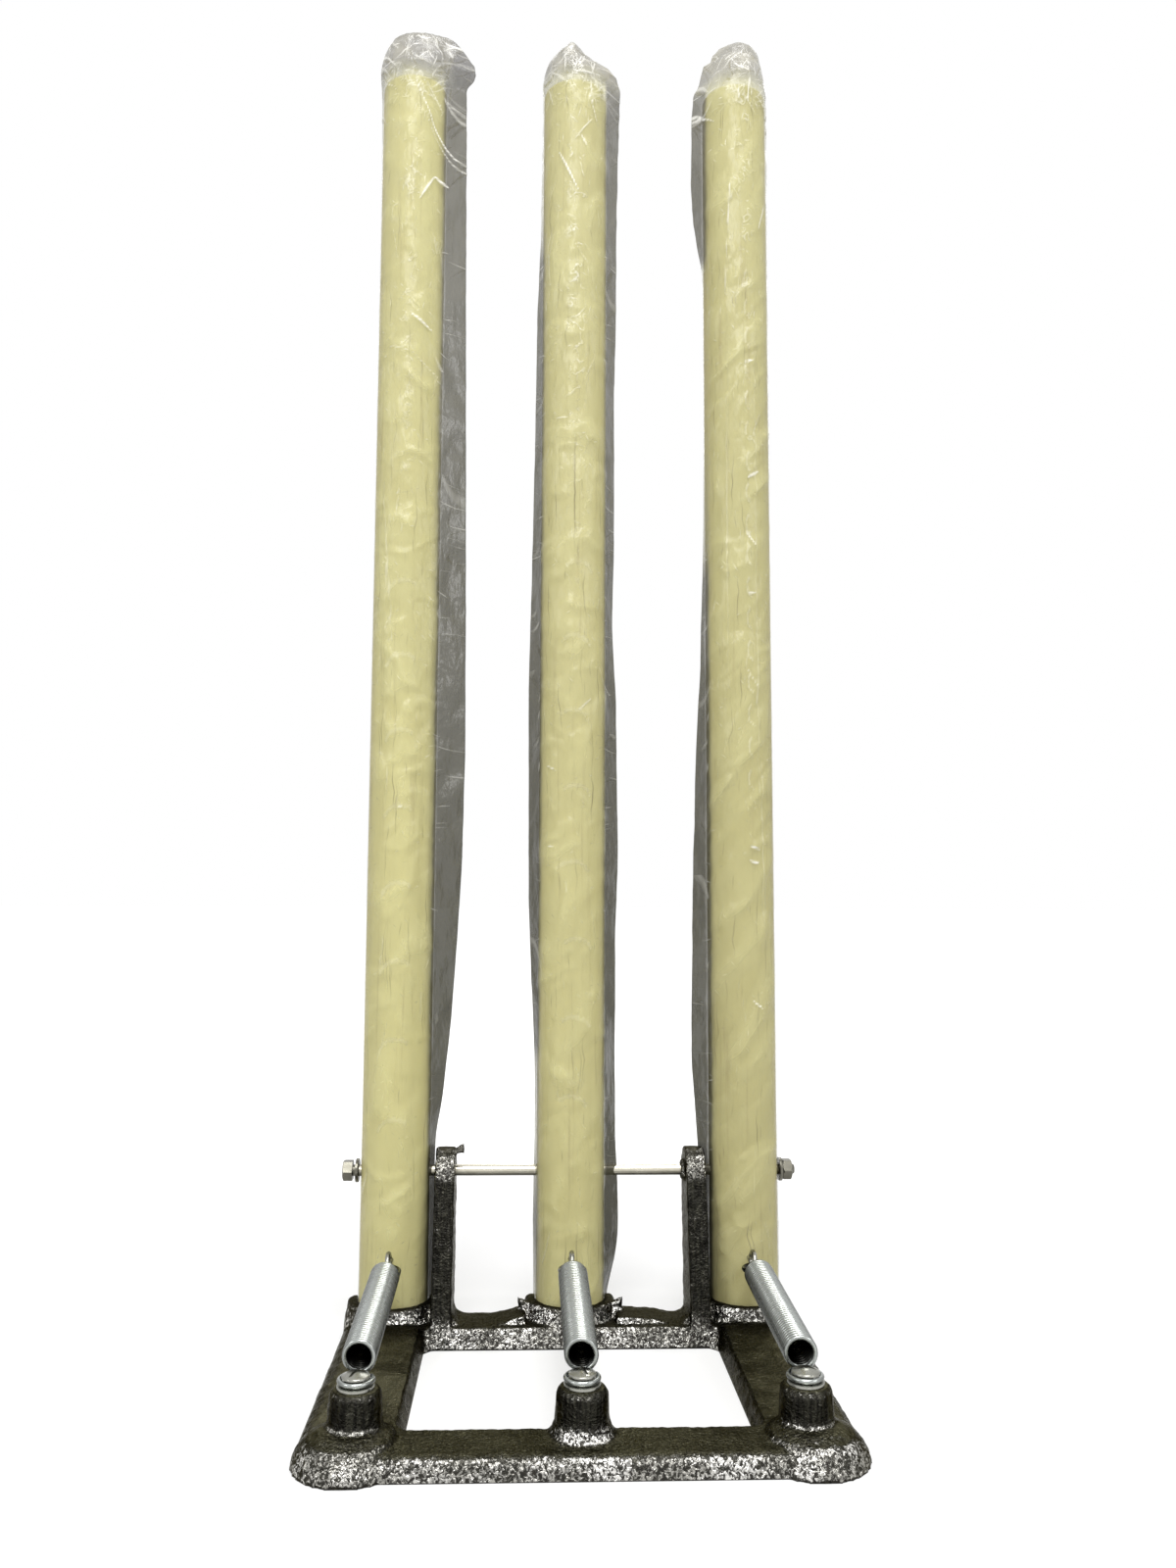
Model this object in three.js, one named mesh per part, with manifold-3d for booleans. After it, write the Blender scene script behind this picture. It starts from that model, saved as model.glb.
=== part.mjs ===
// Spring-back cricket stumps: three wooden stumps hang on one pivot bolt over a cast-iron frame.
// A tension spring from the front of the frame pulls each stump's foot against a seat, so it stands up again.
// Millimetres. X runs along the wicket, -Y is the spring side and Z is up. The stumps' axes lie in Y = 0
// until the last lines, which move the whole part so that its origin is the bottom centre of its box.

import * as THREE from "three";
import { mergeVertices } from "three/addons/utils/BufferGeometryUtils.js";
import Module from "manifold-3d";

const wasm = await Module();
wasm.setup();

// Stumps
const STUMP_DIAMETER = 37;
const STUMP_SPACING = 95.3;
const STUMP_TOP = 711;
const STUMP_FOOT = 9;
const STUMP_TOP_ROUND = 2.5;
const STUMP_FOOT_CHAMFER = 1.5;

// Running and seating gaps
const RUNNING_GAP = 0.3;
const SEAT_GAP = 0.3;
const HOOK_GAP = 0.5;

// Pivot bolt, its nut and washers
const PIVOT_HEIGHT = 84.5;
const BOLT_DIAMETER = 6;
const BOLT_HEAD_ACROSS = 10;
const BOLT_HEAD_THICKNESS = 5.2;
const BOLT_END_PLAY = 1.8;
const BOLT_END_CHAMFER = 0.8;
const NUT_THICKNESS = 5;
const PIVOT_WASHER_DIAMETER = 12.5;
const PIVOT_WASHER_THICKNESS = 1.5;

// Cast frame: outline, window and rails
const FRAME_SIDE_MARGIN = 7.2;
const FRAME_FRONT = 169.5;
const FRAME_REAR = 5;
const FRONT_RAIL_WIDTH = 30;
const SIDE_RAIL_WIDTH = 45;
const REAR_RAIL_FRONT = 30;
const FRONT_RAIL_HEIGHT = 9;
const SIDE_RAIL_REAR_HEIGHT = 12;
const REAR_RAIL_HEIGHT = 10;
const FRONT_CORNER_RADIUS = 22;
const REAR_CORNER_RADIUS = 5;
const WINDOW_CORNER_RADIUS = 6;
const RAIL_EDGE_ROUND = 1.4;
const FRONT_INNER_SLOPE = 1.2;
const SIDE_INNER_SLOPE = 2.4;
const REAR_INNER_SLOPE = 5.5;
const FRONT_OUTER_SLOPE = 6.5;
const SIDE_OUTER_SLOPE = 15;
const REAR_OUTER_SLOPE = 12;
const SIDE_OUTER_SHOULDER = 2.4;

// The outer slope of a rail as shares of its run and of the shoulder's drop, then of its height at the toe
const SHOULDER_SHARES = [[1, 0], [0.667, 0.5], [0.333, 1.5]];
const TOE_SHARES = [0.125, 0.5];

// Swollen front corners, with the dome's outline as shares of its radius and height
const CORNER_PAD_RADIUS = 24.5;
const CORNER_PAD_PROUD = 5;
const CORNER_PAD_HEIGHT = 14;
const CORNER_PAD_SHARES = [[1, 0], [0.97, 0.25], [0.88, 0.52], [0.74, 0.78], [0.5, 0.96]];

// The three spring bosses: drafted posts that stand on the front rail's inner edge
const SPRING_SPLAY = 0.2;
const BOSS_FRONT = 146;
const BOSS_HEIGHT = 28.3;
const BOSS_TOP_DIAMETER = 22.4;
const BOSS_BASE_DIAMETER = 25;
const BOSS_RIM_ROUND = 3.2;
const BOSS_FILLET = 4;

// Uprights that carry the bolt, just inside the outer stumps
const UPRIGHT_STUMP_GAP = 3.5;
const UPRIGHT_THICKNESS = 10.7;
const UPRIGHT_EYE_RADIUS = 12.5;
const UPRIGHT_EYE_LEAN = THREE.MathUtils.degToRad(11.5);
const UPRIGHT_FILLET = 7;
const COLLAR_RADIUS = 5;
const COLLAR_THICKNESS = 2.4;

// Seats: a U-shaped wall round the front of each stump's foot, which bends at a share of its run and height
const SEAT_HEIGHT = 18;
const SEAT_WALL_TOP = 5.6;
const SEAT_WALL_BASE = 10.6;
const SEAT_BEND_SHARES = [0.3, 0.45];
const SEAT_RIM_ROUND = 1.6;
const SEAT_SIDE_MARGIN = 1.2;
const RAMP_START_HEIGHT = 15;
const RAMP_DEPTH = 22;

// Anchor screws, with the head's crown as shares of its radius and height, and their washers
const SCREW_DIAMETER = 6;
const SCREW_DEPTH = 20;
const SCREW_HEAD_DIAMETER = 12;
const SCREW_HEAD_HEIGHT = 2.6;
const SCREW_CROWN_SHARES = [[1, 0.3], [0.6, 0.8], [0.2, 1]];
const SCREW_SLOT_WIDTH = 1.3;
const SCREW_SLOT_DEPTH = 1.1;
const ANCHOR_WASHER_DIAMETER = 15.8;
const ANCHOR_WASHER_THICKNESS = 1.1;

// Screw eyes in the stumps
const EYE_WIRE = 2.6;
const EYE_RADIUS = 4.5;
const EYE_HEIGHT = 42.5;
const EYE_STAND_OFF = 8.8;
const EYE_SHANK_DEPTH = 22;

// Springs: close wound, a flat ring at the screw end and a hook at the eye end
const SPRING_WIRE = 2.2;
const SPRING_DIAMETER = 15;
const SPRING_COILS = 30.25;
const SPRING_RING_SWEEP = THREE.MathUtils.degToRad(300);
const SPRING_HOOK_SWEEP = THREE.MathUtils.degToRad(195);
const SPRING_HOOK_LEAD = 3.2;
const COIL_STEPS = 8;
const HOOK_STEPS = 12;
const WIRE_SIDES = 5;

// Clear film sleeves over the stumps
const FILM_GAP = 0.3;
const FILM_WALL = 0.4;
const FILM_HEAD_WALL = 1.6;
const FILM_END = 21;
const FILM_FLAP = 15;
const FILM_RISE = 19.5;
const PIERCE_GAP = 0.6;

// Facets round turned pieces and roundings, and the length by which every cut runs past its solid
const STUMP_SIDES = 36;
const FILM_SIDES = 16;
const CAST_SIDES = 24;
const SMALL_SIDES = 18;
const HEXAGON_SIDES = 6;
const EYE_SIDES = 7;
const CORNER_STEPS = 4;
const ROUND_STEPS = 3;
const CUT_OVERRUN = 2;

// Sizes that follow from the ones above
const stumpRadius = STUMP_DIAMETER / 2;
const boltRadius = BOLT_DIAMETER / 2;
const boreRadius = boltRadius + RUNNING_GAP;
const filmOuterRadius = stumpRadius + FILM_GAP + FILM_WALL;
const filmReach = filmOuterRadius / Math.cos(Math.PI / FILM_SIDES);
const washerStart = STUMP_SPACING + filmReach + RUNNING_GAP;
const washerEnd = washerStart + PIVOT_WASHER_THICKNESS;
const boltEnd = washerEnd + BOLT_END_PLAY + BOLT_HEAD_THICKNESS;
const frameHalf = STUMP_SPACING + stumpRadius + FRAME_SIDE_MARGIN;
const uprightOuterFace = STUMP_SPACING - stumpRadius - UPRIGHT_STUMP_GAP;
const uprightInnerFace = uprightOuterFace - UPRIGHT_THICKNESS;
const bossSpacing = STUMP_SPACING - SPRING_SPLAY;
const seatRadius = stumpRadius + SEAT_GAP;
const springRadius = (SPRING_DIAMETER - SPRING_WIRE) / 2;
const anchorWasherTop = BOSS_HEIGHT + ANCHOR_WASHER_THICKNESS;
const ringHeight = anchorWasherTop + RUNNING_GAP + SPRING_WIRE / 2;
const screwHeadSeat = ringHeight + SPRING_WIRE / 2 + RUNNING_GAP;
const eyeInnerRadius = EYE_RADIUS - EYE_WIRE / 2;
const eyeFront = stumpRadius + EYE_STAND_OFF;

// The three lanes. The film's rise over a stump is a share of the highest rise, and its flaps are shares
// of the widest flap, one for each level of the sleeve.
const FILM_LEVEL_SHARES = [0, 0.057, 0.112, 0.155, 0.21, 0.29, 0.38, 0.5, 0.62, 0.75, 0.88, 1];
const FILM_HEAD_SHARES = [0.3, 0.65, 1];
const FILM_HEAD_WIDTH_SHARES = [1.06, 1, 0.62];
const FILM_HEAD_DEPTH_SHARES = [0.82, 0.5, 0.14];
const lanes = [
  {
    side: "left",
    place: -1,
    riseShare: 0.9,
    leftFlapShares: [0, 0, 0, 0, 0, 0, 0, 0, 0, 0, 0, 0.05],
    rightFlapShares: [0.1, 0.05, 0.06, 0.47, 0.68, 0.87, 0.98, 1, 1, 0.97, 0.93, 0.86],
  },
  {
    side: "middle",
    place: 0,
    riseShare: 0.82,
    leftFlapShares: [0.05, 0.1, 0.1, 0.11, 0.18, 0.36, 0.37, 0.35, 0.26, 0.14, 0.02, 0],
    rightFlapShares: [0.14, 0.56, 0.4, 0.4, 0.4, 0.4, 0.4, 0.3, 0.2, 0.19, 0.25, 0.26],
  },
  {
    side: "right",
    place: 1,
    riseShare: 1,
    leftFlapShares: [0.1, 0.06, 0.06, 0.46, 0.5, 0.42, 0.24, 0.08, 0.03, 0.02, 0.33, 0.2],
    rightFlapShares: [0.04, 0, 0, 0, 0, 0, 0, 0, 0, 0, 0, 0.05],
  },
];

// Tops of the webs between the middle seat and each upright, as shares of the run and of the drop
const RAMP_SHARES = {
  left: [[0, 0], [0.25, 0.55], [0.6, 0.9], [1, 1]],
  right: [[0, 0.25], [0.5, 0.4], [0.8, 0.85], [1, 1]],
};

const materials = {
  castIron: new THREE.MeshStandardMaterial({ color: 0x2b2a24, roughness: 0.42, metalness: 0.35 }),
  wood: new THREE.MeshStandardMaterial({ color: 0xcfc99a, roughness: 0.5, metalness: 0 }),
  film: new THREE.MeshStandardMaterial({ color: 0xd8d8d0, roughness: 0.15, metalness: 0 }),
  zinc: new THREE.MeshStandardMaterial({ color: 0xb4bcc2, roughness: 0.3, metalness: 1 }),
};

const at = (x, y, z) => new THREE.Vector3(x, y, z);

// A closed three.js geometry as a solid, turned right side out if its outline ran the other way
function solid(geometry) {
  const bare = new THREE.BufferGeometry();
  bare.setAttribute("position", geometry.getAttribute("position"));
  bare.setIndex(geometry.index);
  const merged = mergeVertices(bare);
  const corners = merged.index.array;
  const faces = [];
  for (let i = 0; i < corners.length; i += 3) {
    const [a, b, c] = corners.slice(i, i + 3);
    if (a !== b && b !== c && c !== a) faces.push([a, b, c]);
  }
  const build = (list) =>
    new wasm.Manifold(
      new wasm.Mesh({
        numProp: 3,
        vertProperties: new Float32Array(merged.attributes.position.array),
        triVerts: new Uint32Array(list.flat()),
      }),
    );
  const made = build(faces);
  return made.volume() < 0 ? build(faces.map(([a, b, c]) => [a, c, b])) : made;
}

// A solid, or a closed geometry, as the named mesh of one piece
function piece(name, shape, material) {
  let geometry = shape;
  if (!shape.isBufferGeometry) {
    const { vertProperties, triVerts } = shape.getMesh();
    geometry = new THREE.BufferGeometry();
    geometry.setAttribute("position", new THREE.BufferAttribute(vertProperties, 3));
    geometry.setIndex(new THREE.BufferAttribute(triVerts, 1));
  }
  geometry.computeVertexNormals();
  const mesh = new THREE.Mesh(geometry, material);
  mesh.name = name;
  return mesh;
}

// A profile of [radius, height] points turned about the Z axis
function turned(profile, sides) {
  const points = profile.map(([radius, height]) => new THREE.Vector2(radius, height));
  return new THREE.LatheGeometry(points, sides).rotateX(Math.PI / 2);
}

// A round bar along X or Y, from one end to the other, by its centre line
function bar(radius, from, to, sides) {
  const span = new THREE.Vector3().subVectors(to, from);
  const geometry = new THREE.CylinderGeometry(radius, radius, span.length(), sides);
  geometry.applyQuaternion(new THREE.Quaternion().setFromUnitVectors(at(0, 1, 0), span.clone().normalize()));
  const middle = new THREE.Vector3().addVectors(from, to).multiplyScalar(1 / 2);
  return solid(geometry.translate(middle.x, middle.y, middle.z));
}

// A block between two opposite corners
function block(low, high) {
  const size = new THREE.Vector3().subVectors(high, low);
  const middle = new THREE.Vector3().addVectors(low, high).multiplyScalar(1 / 2);
  return solid(new THREE.BoxGeometry(size.x, size.y, size.z).translate(middle.x, middle.y, middle.z));
}

// Points on an arc, both ends included
function arc(x, y, radius, from, to, steps) {
  const points = [];
  for (let i = 0; i <= steps; i += 1) {
    const angle = from + ((to - from) * i) / steps;
    points.push([x + radius * Math.cos(angle), y + radius * Math.sin(angle)]);
  }
  return points;
}

function outline(points) {
  return new THREE.Shape(points.map(([x, y]) => new THREE.Vector2(x, y)));
}

// A side profile of [y, z] points, drawn out along X between two faces
function drawnAlongX(points, fromX, toX) {
  const geometry = new THREE.ExtrudeGeometry(outline(points), { depth: toX - fromX, bevelEnabled: false });
  const turn = new THREE.Matrix4().makeBasis(at(0, 1, 0), at(0, 0, 1), at(1, 0, 0));
  return solid(geometry.applyMatrix4(turn).translate(fromX, 0, 0));
}

// A front profile of [x, z] points, drawn out along Y between two faces
function drawnAlongY(points, fromY, toY) {
  const geometry = new THREE.ExtrudeGeometry(outline(points), { depth: toY - fromY, bevelEnabled: false });
  return solid(geometry.rotateX(Math.PI / 2).translate(0, toY, 0));
}

// A plan of [x, y] points, drawn up along Z between two heights
function drawnUp(points, fromZ, toZ) {
  const geometry = new THREE.ExtrudeGeometry(outline(points), { depth: toZ - fromZ, bevelEnabled: false });
  return solid(geometry.translate(0, 0, fromZ));
}

// A grid of points, joined row to row round a closed loop. The ends are capped, or meet for a ring.
function skin(rows, endsMeet) {
  const around = rows[0].length;
  const vertices = rows.flat().flatMap((point) => point.toArray());
  const index = [];
  const spans = endsMeet ? rows.length : rows.length - 1;
  for (let i = 0; i < spans; i += 1) {
    const near = i * around;
    const far = ((i + 1) % rows.length) * around;
    for (let j = 0; j < around; j += 1) {
      const next = (j + 1) % around;
      index.push(near + j, near + next, far + next, near + j, far + next, far + j);
    }
  }
  if (!endsMeet) {
    [0, rows.length - 1].forEach((row) => {
      const centre = rows[row].reduce((sum, point) => sum.add(point), new THREE.Vector3());
      centre.divideScalar(around);
      const hub = vertices.push(...centre.toArray()) / 3 - 1;
      for (let j = 0; j < around; j += 1) {
        const [a, b] = [row * around + j, row * around + ((j + 1) % around)];
        index.push(...(row === 0 ? [hub, b, a] : [hub, a, b]));
      }
    });
  }
  const geometry = new THREE.BufferGeometry();
  geometry.setAttribute("position", new THREE.Float32BufferAttribute(vertices, 3));
  geometry.setIndex(index);
  return geometry;
}

// Stations round a rectangle with rounded corners, each with its outward direction
function roundedStations(halfWidth, front, rear, frontRadius, rearRadius) {
  const quarter = Math.PI / 2;
  const corners = [
    [halfWidth - frontRadius, front + frontRadius, frontRadius, -quarter],
    [halfWidth - rearRadius, rear - rearRadius, rearRadius, 0],
    [-halfWidth + rearRadius, rear - rearRadius, rearRadius, quarter],
    [-halfWidth + frontRadius, front + frontRadius, frontRadius, 2 * quarter],
  ];
  return corners.flatMap(([x, y, radius, start]) =>
    arc(x, y, radius, start, start + quarter, CORNER_STEPS).map(([px, py], i) => {
      const angle = start + (quarter * i) / CORNER_STEPS;
      return { x: px, y: py, dx: Math.cos(angle), dy: Math.sin(angle) };
    }),
  );
}

// The four rails: a cast section that follows the window and changes from rail to rail
function rails() {
  const windowHalf = frameHalf - SIDE_RAIL_WIDTH;
  const windowFront = -FRAME_FRONT + FRONT_RAIL_WIDTH;
  const outer = roundedStations(
    frameHalf, -FRAME_FRONT, FRAME_REAR, FRONT_CORNER_RADIUS, REAR_CORNER_RADIUS,
  );
  const inner = roundedStations(
    windowHalf, windowFront, -REAR_RAIL_FRONT, WINDOW_CORNER_RADIUS, WINDOW_CORNER_RADIUS,
  );
  const rows = outer.map((edge, i) => {
    const start = inner[i];
    const [sideShare, endShare] = [edge.dx ** 2, edge.dy ** 2];
    const rear = edge.dy > 0;
    const mix = (side, front, back) => sideShare * side + endShare * (rear ? back : front);
    const run = (edge.y + FRAME_FRONT) / (FRAME_FRONT + FRAME_REAR);
    const sideHeight = THREE.MathUtils.lerp(FRONT_RAIL_HEIGHT, SIDE_RAIL_REAR_HEIGHT, run);
    const height = mix(sideHeight, FRONT_RAIL_HEIGHT, REAR_RAIL_HEIGHT);
    const innerSlope = mix(SIDE_INNER_SLOPE, FRONT_INNER_SLOPE, REAR_INNER_SLOPE);
    const outerSlope = mix(SIDE_OUTER_SLOPE, FRONT_OUTER_SLOPE, REAR_OUTER_SLOPE);
    const shoulder = mix(SIDE_OUTER_SHOULDER, RAIL_EDGE_ROUND, RAIL_EDGE_ROUND);
    const across = new THREE.Vector2(edge.x - start.x, edge.y - start.y);
    const width = across.length();
    across.normalize();
    const [toeRun, toeRise] = TOE_SHARES;
    const section = [
      [0, 0],
      [innerSlope, height - RAIL_EDGE_ROUND],
      [innerSlope + RAIL_EDGE_ROUND, height],
      ...SHOULDER_SHARES.map(([share, drop]) => [width - outerSlope * share, height - shoulder * drop]),
      [width - outerSlope * toeRun, (height - shoulder) * toeRise],
      [width, 0],
    ];
    return section.map(([far, up]) => at(start.x + across.x * far, start.y + across.y * far, up));
  });
  return solid(skin(rows, true));
}

// A swollen front corner: a low dome under each outer boss
function cornerPad(x) {
  const dome = CORNER_PAD_SHARES.map(([wide, high]) => [CORNER_PAD_RADIUS * wide, CORNER_PAD_HEIGHT * high]);
  const y = -FRAME_FRONT - CORNER_PAD_PROUD + CORNER_PAD_RADIUS;
  return solid(turned([[0, 0], ...dome, [0, CORNER_PAD_HEIGHT]], CAST_SIDES).translate(x, y, 0));
}

// A spring boss: a post from the ground up with a rounded rim, and a fillet round it where it meets the rail
function boss(x) {
  const top = BOSS_TOP_DIAMETER / 2 - BOSS_RIM_ROUND;
  const foot = BOSS_BASE_DIAMETER / 2;
  const rim = arc(top, BOSS_HEIGHT - BOSS_RIM_ROUND, BOSS_RIM_ROUND, 0, Math.PI / 2, ROUND_STEPS);
  const post = solid(turned([[0, 0], [foot, 0], ...rim, [0, BOSS_HEIGHT]], CAST_SIDES));
  const skirt = foot + BOSS_FILLET;
  const filletTop = FRONT_RAIL_HEIGHT + BOSS_FILLET;
  const sweep = arc(skirt, filletTop, BOSS_FILLET, -Math.PI / 2, -Math.PI, ROUND_STEPS);
  const fillet = turned([[0, RAIL_EDGE_ROUND], [skirt, RAIL_EDGE_ROUND], ...sweep, [0, filletTop]], CAST_SIDES);
  const railEdge = BOSS_FRONT - FRAME_FRONT + FRONT_RAIL_WIDTH - FRONT_INNER_SLOPE - RAIL_EDGE_ROUND;
  const overRail = block(at(-skirt, -skirt, 0), at(skirt, railEdge, filletTop));
  return post.add(solid(fillet).intersect(overRail)).translate([x, -BOSS_FRONT, 0]);
}

// An upright: a web that widens to its foot, with a round eye for the bolt
function upright(side) {
  const eyeSteps = CORNER_STEPS * ROUND_STEPS;
  const eyeTop = arc(0, PIVOT_HEIGHT, UPRIGHT_EYE_RADIUS, Math.PI + UPRIGHT_EYE_LEAN, 0, eyeSteps);
  const profile = [...eyeTop, [FRAME_REAR, REAR_RAIL_HEIGHT], [FRAME_REAR, 0], [-REAR_RAIL_FRONT, 0]];
  const faces = [side * uprightInnerFace, side * uprightOuterFace].sort((a, b) => a - b);
  return drawnAlongX(profile, faces[0], faces[1]);
}

// The hollow corner between an upright's inner face and the rear rail
function uprightFillet(side) {
  const face = uprightInnerFace;
  const base = REAR_RAIL_HEIGHT;
  const r = UPRIGHT_FILLET;
  const points = [
    [face + CUT_OVERRUN, base - CUT_OVERRUN],
    [face + CUT_OVERRUN, base + r],
    ...arc(face - r, base + r, r, 0, -Math.PI / 2, CORNER_STEPS),
    [face - r, base - CUT_OVERRUN],
  ].map(([x, z]) => [side * x, z]);
  return drawnAlongY(points, -RAMP_DEPTH, -CUT_OVERRUN);
}

// The web whose top falls from the middle seat to an upright's foot
function ramp(side, shares) {
  const from = stumpRadius + SEAT_WALL_TOP;
  const run = uprightInnerFace - from;
  const drop = RAMP_START_HEIGHT - REAR_RAIL_HEIGHT + CUT_OVERRUN / 2;
  const top = shares.map(([along, down]) => [from + run * along, RAMP_START_HEIGHT - drop * down]);
  const points = [[from, 0], ...top, [from + run, 0]].map(([x, z]) => [side * x, z]);
  return drawnAlongY(points, -RAMP_DEPTH, -CUT_OVERRUN);
}

// The outside of a seat: a low cone round the stump's foot, cut off at the frame's rear and side
function seatWall(x) {
  const base = stumpRadius + SEAT_WALL_BASE;
  const top = stumpRadius + SEAT_WALL_TOP;
  const [bendRun, bendRise] = SEAT_BEND_SHARES;
  const profile = [
    [0, 0],
    [base, 0],
    [THREE.MathUtils.lerp(base, top, bendRun), SEAT_HEIGHT * bendRise],
    ...arc(top - SEAT_RIM_ROUND, SEAT_HEIGHT - SEAT_RIM_ROUND, SEAT_RIM_ROUND, 0, Math.PI / 2, ROUND_STEPS),
    [0, SEAT_HEIGHT],
  ];
  const half = frameHalf - SEAT_SIDE_MARGIN;
  const room = block(at(-half, -FRAME_FRONT, 0), at(half, FRAME_REAR - SEAT_SIDE_MARGIN, STUMP_TOP));
  return solid(turned(profile, STUMP_SIDES).translate(x, 0, 0)).intersect(room);
}

// The notch that a stump's foot lies in, open to the rear and right through
function seatNotch(x) {
  const flat = seatRadius / Math.cos(Math.PI / STUMP_SIDES);
  const points = [
    ...arc(x, 0, flat, -Math.PI, 0, STUMP_SIDES / 2),
    [x + flat, FRAME_REAR + CUT_OVERRUN],
    [x - flat, FRAME_REAR + CUT_OVERRUN],
  ];
  return drawnUp(points, -CUT_OVERRUN, SEAT_HEIGHT + CUT_OVERRUN);
}

function baseCasting() {
  let body = rails();
  [-1, 1].forEach((side) => {
    const padOffset = frameHalf - CORNER_PAD_RADIUS;
    body = body.add(cornerPad(side * padOffset)).add(upright(side)).add(uprightFillet(side));
  });
  body = body.add(ramp(-1, RAMP_SHARES.left)).add(ramp(1, RAMP_SHARES.right));
  const collar = bar(
    COLLAR_RADIUS,
    at(uprightInnerFace - COLLAR_THICKNESS, 0, PIVOT_HEIGHT),
    at(uprightInnerFace + CUT_OVERRUN, 0, PIVOT_HEIGHT),
    SMALL_SIDES,
  );
  body = body.add(collar);
  lanes.forEach(({ place }) => {
    body = body.add(boss(place * bossSpacing)).add(seatWall(place * STUMP_SPACING));
  });
  lanes.forEach(({ place }) => {
    const screwHole = bar(
      SCREW_DIAMETER / 2 + RUNNING_GAP,
      at(place * bossSpacing, -BOSS_FRONT, BOSS_HEIGHT - SCREW_DEPTH - CUT_OVERRUN),
      at(place * bossSpacing, -BOSS_FRONT, BOSS_HEIGHT + CUT_OVERRUN),
      SMALL_SIDES,
    );
    body = body.subtract(seatNotch(place * STUMP_SPACING)).subtract(screwHole);
  });
  return body.subtract(boltHole(boreRadius, -boltEnd, boltEnd));
}

// A round hole along the pivot
function boltHole(radius, fromX, toX) {
  return bar(radius, at(fromX, 0, PIVOT_HEIGHT), at(toX, 0, PIVOT_HEIGHT), SMALL_SIDES);
}

// A hexagon whose corners are turned off to a round at one or both faces
function hexagon(across, fromX, toX, chamferBoth) {
  const corner = across / 2 / Math.cos(Math.PI / HEXAGON_SIDES);
  const bevel = (corner - across / 2) / 2;
  const length = toX - fromX;
  const firstRadius = chamferBoth ? across / 2 : corner;
  const turnedOff = turned(
    [
      [0, 0],
      [firstRadius, 0],
      [corner, chamferBoth ? bevel : 0],
      [corner, length - bevel],
      [across / 2, length],
      [0, length],
    ],
    HEXAGON_SIDES * CORNER_STEPS,
  );
  const prism = new THREE.CylinderGeometry(corner, corner, length, HEXAGON_SIDES).rotateX(Math.PI / 2);
  const made = solid(prism.translate(0, 0, length / 2)).intersect(solid(turnedOff));
  return made.rotate([0, 90, 0]).translate([fromX, 0, PIVOT_HEIGHT]);
}

function pivotBolt() {
  const headInner = boltEnd - BOLT_HEAD_THICKNESS;
  const head = hexagon(BOLT_HEAD_ACROSS, headInner, boltEnd, false).mirror([1, 0, 0]);
  const shankLength = boltEnd + headInner + CUT_OVERRUN;
  const shank = turned(
    [
      [0, 0],
      [boltRadius, 0],
      [boltRadius, shankLength - BOLT_END_CHAMFER],
      [boltRadius - BOLT_END_CHAMFER, shankLength],
      [0, shankLength],
    ],
    SMALL_SIDES,
  );
  const laid = shank.rotateY(Math.PI / 2).translate(-headInner - CUT_OVERRUN, 0, PIVOT_HEIGHT);
  return head.add(solid(laid));
}

function pivotNut() {
  const start = washerEnd + RUNNING_GAP;
  const nut = hexagon(BOLT_HEAD_ACROSS, start, start + NUT_THICKNESS, true);
  return nut.subtract(boltHole(boreRadius, washerStart, boltEnd + CUT_OVERRUN));
}

// A flat ring about the Z axis, standing on its lower face
function washer(outer, inner, thickness) {
  const section = [[inner, 0], [outer, 0], [outer, thickness], [inner, thickness], [inner, 0]];
  return turned(section, SMALL_SIDES);
}

function pivotWasher(side) {
  const ring = washer(PIVOT_WASHER_DIAMETER / 2, boreRadius, PIVOT_WASHER_THICKNESS);
  const start = side < 0 ? -washerEnd : washerStart;
  return solid(ring.rotateY(Math.PI / 2).translate(start, 0, PIVOT_HEIGHT));
}

function anchorScrew(x) {
  const head = SCREW_HEAD_DIAMETER / 2;
  const shank = SCREW_DIAMETER / 2;
  const crown = screwHeadSeat + SCREW_HEAD_HEIGHT;
  const profile = [
    [0, BOSS_HEIGHT - SCREW_DEPTH],
    [shank, BOSS_HEIGHT - SCREW_DEPTH],
    [shank, screwHeadSeat],
    [head, screwHeadSeat],
    ...SCREW_CROWN_SHARES.map(([wide, high]) => [head * wide, screwHeadSeat + SCREW_HEAD_HEIGHT * high]),
    [0, crown],
  ];
  const slot = block(
    at(-SCREW_SLOT_WIDTH / 2, -head - CUT_OVERRUN, crown - SCREW_SLOT_DEPTH),
    at(SCREW_SLOT_WIDTH / 2, head + CUT_OVERRUN, crown + CUT_OVERRUN),
  );
  return solid(turned(profile, SMALL_SIDES)).subtract(slot).translate([x, -BOSS_FRONT, 0]);
}

function anchorWasher(x) {
  const hole = SCREW_DIAMETER / 2 + RUNNING_GAP;
  const ring = washer(ANCHOR_WASHER_DIAMETER / 2, hole, ANCHOR_WASHER_THICKNESS);
  return solid(ring.translate(x, -BOSS_FRONT, BOSS_HEIGHT));
}

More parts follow.
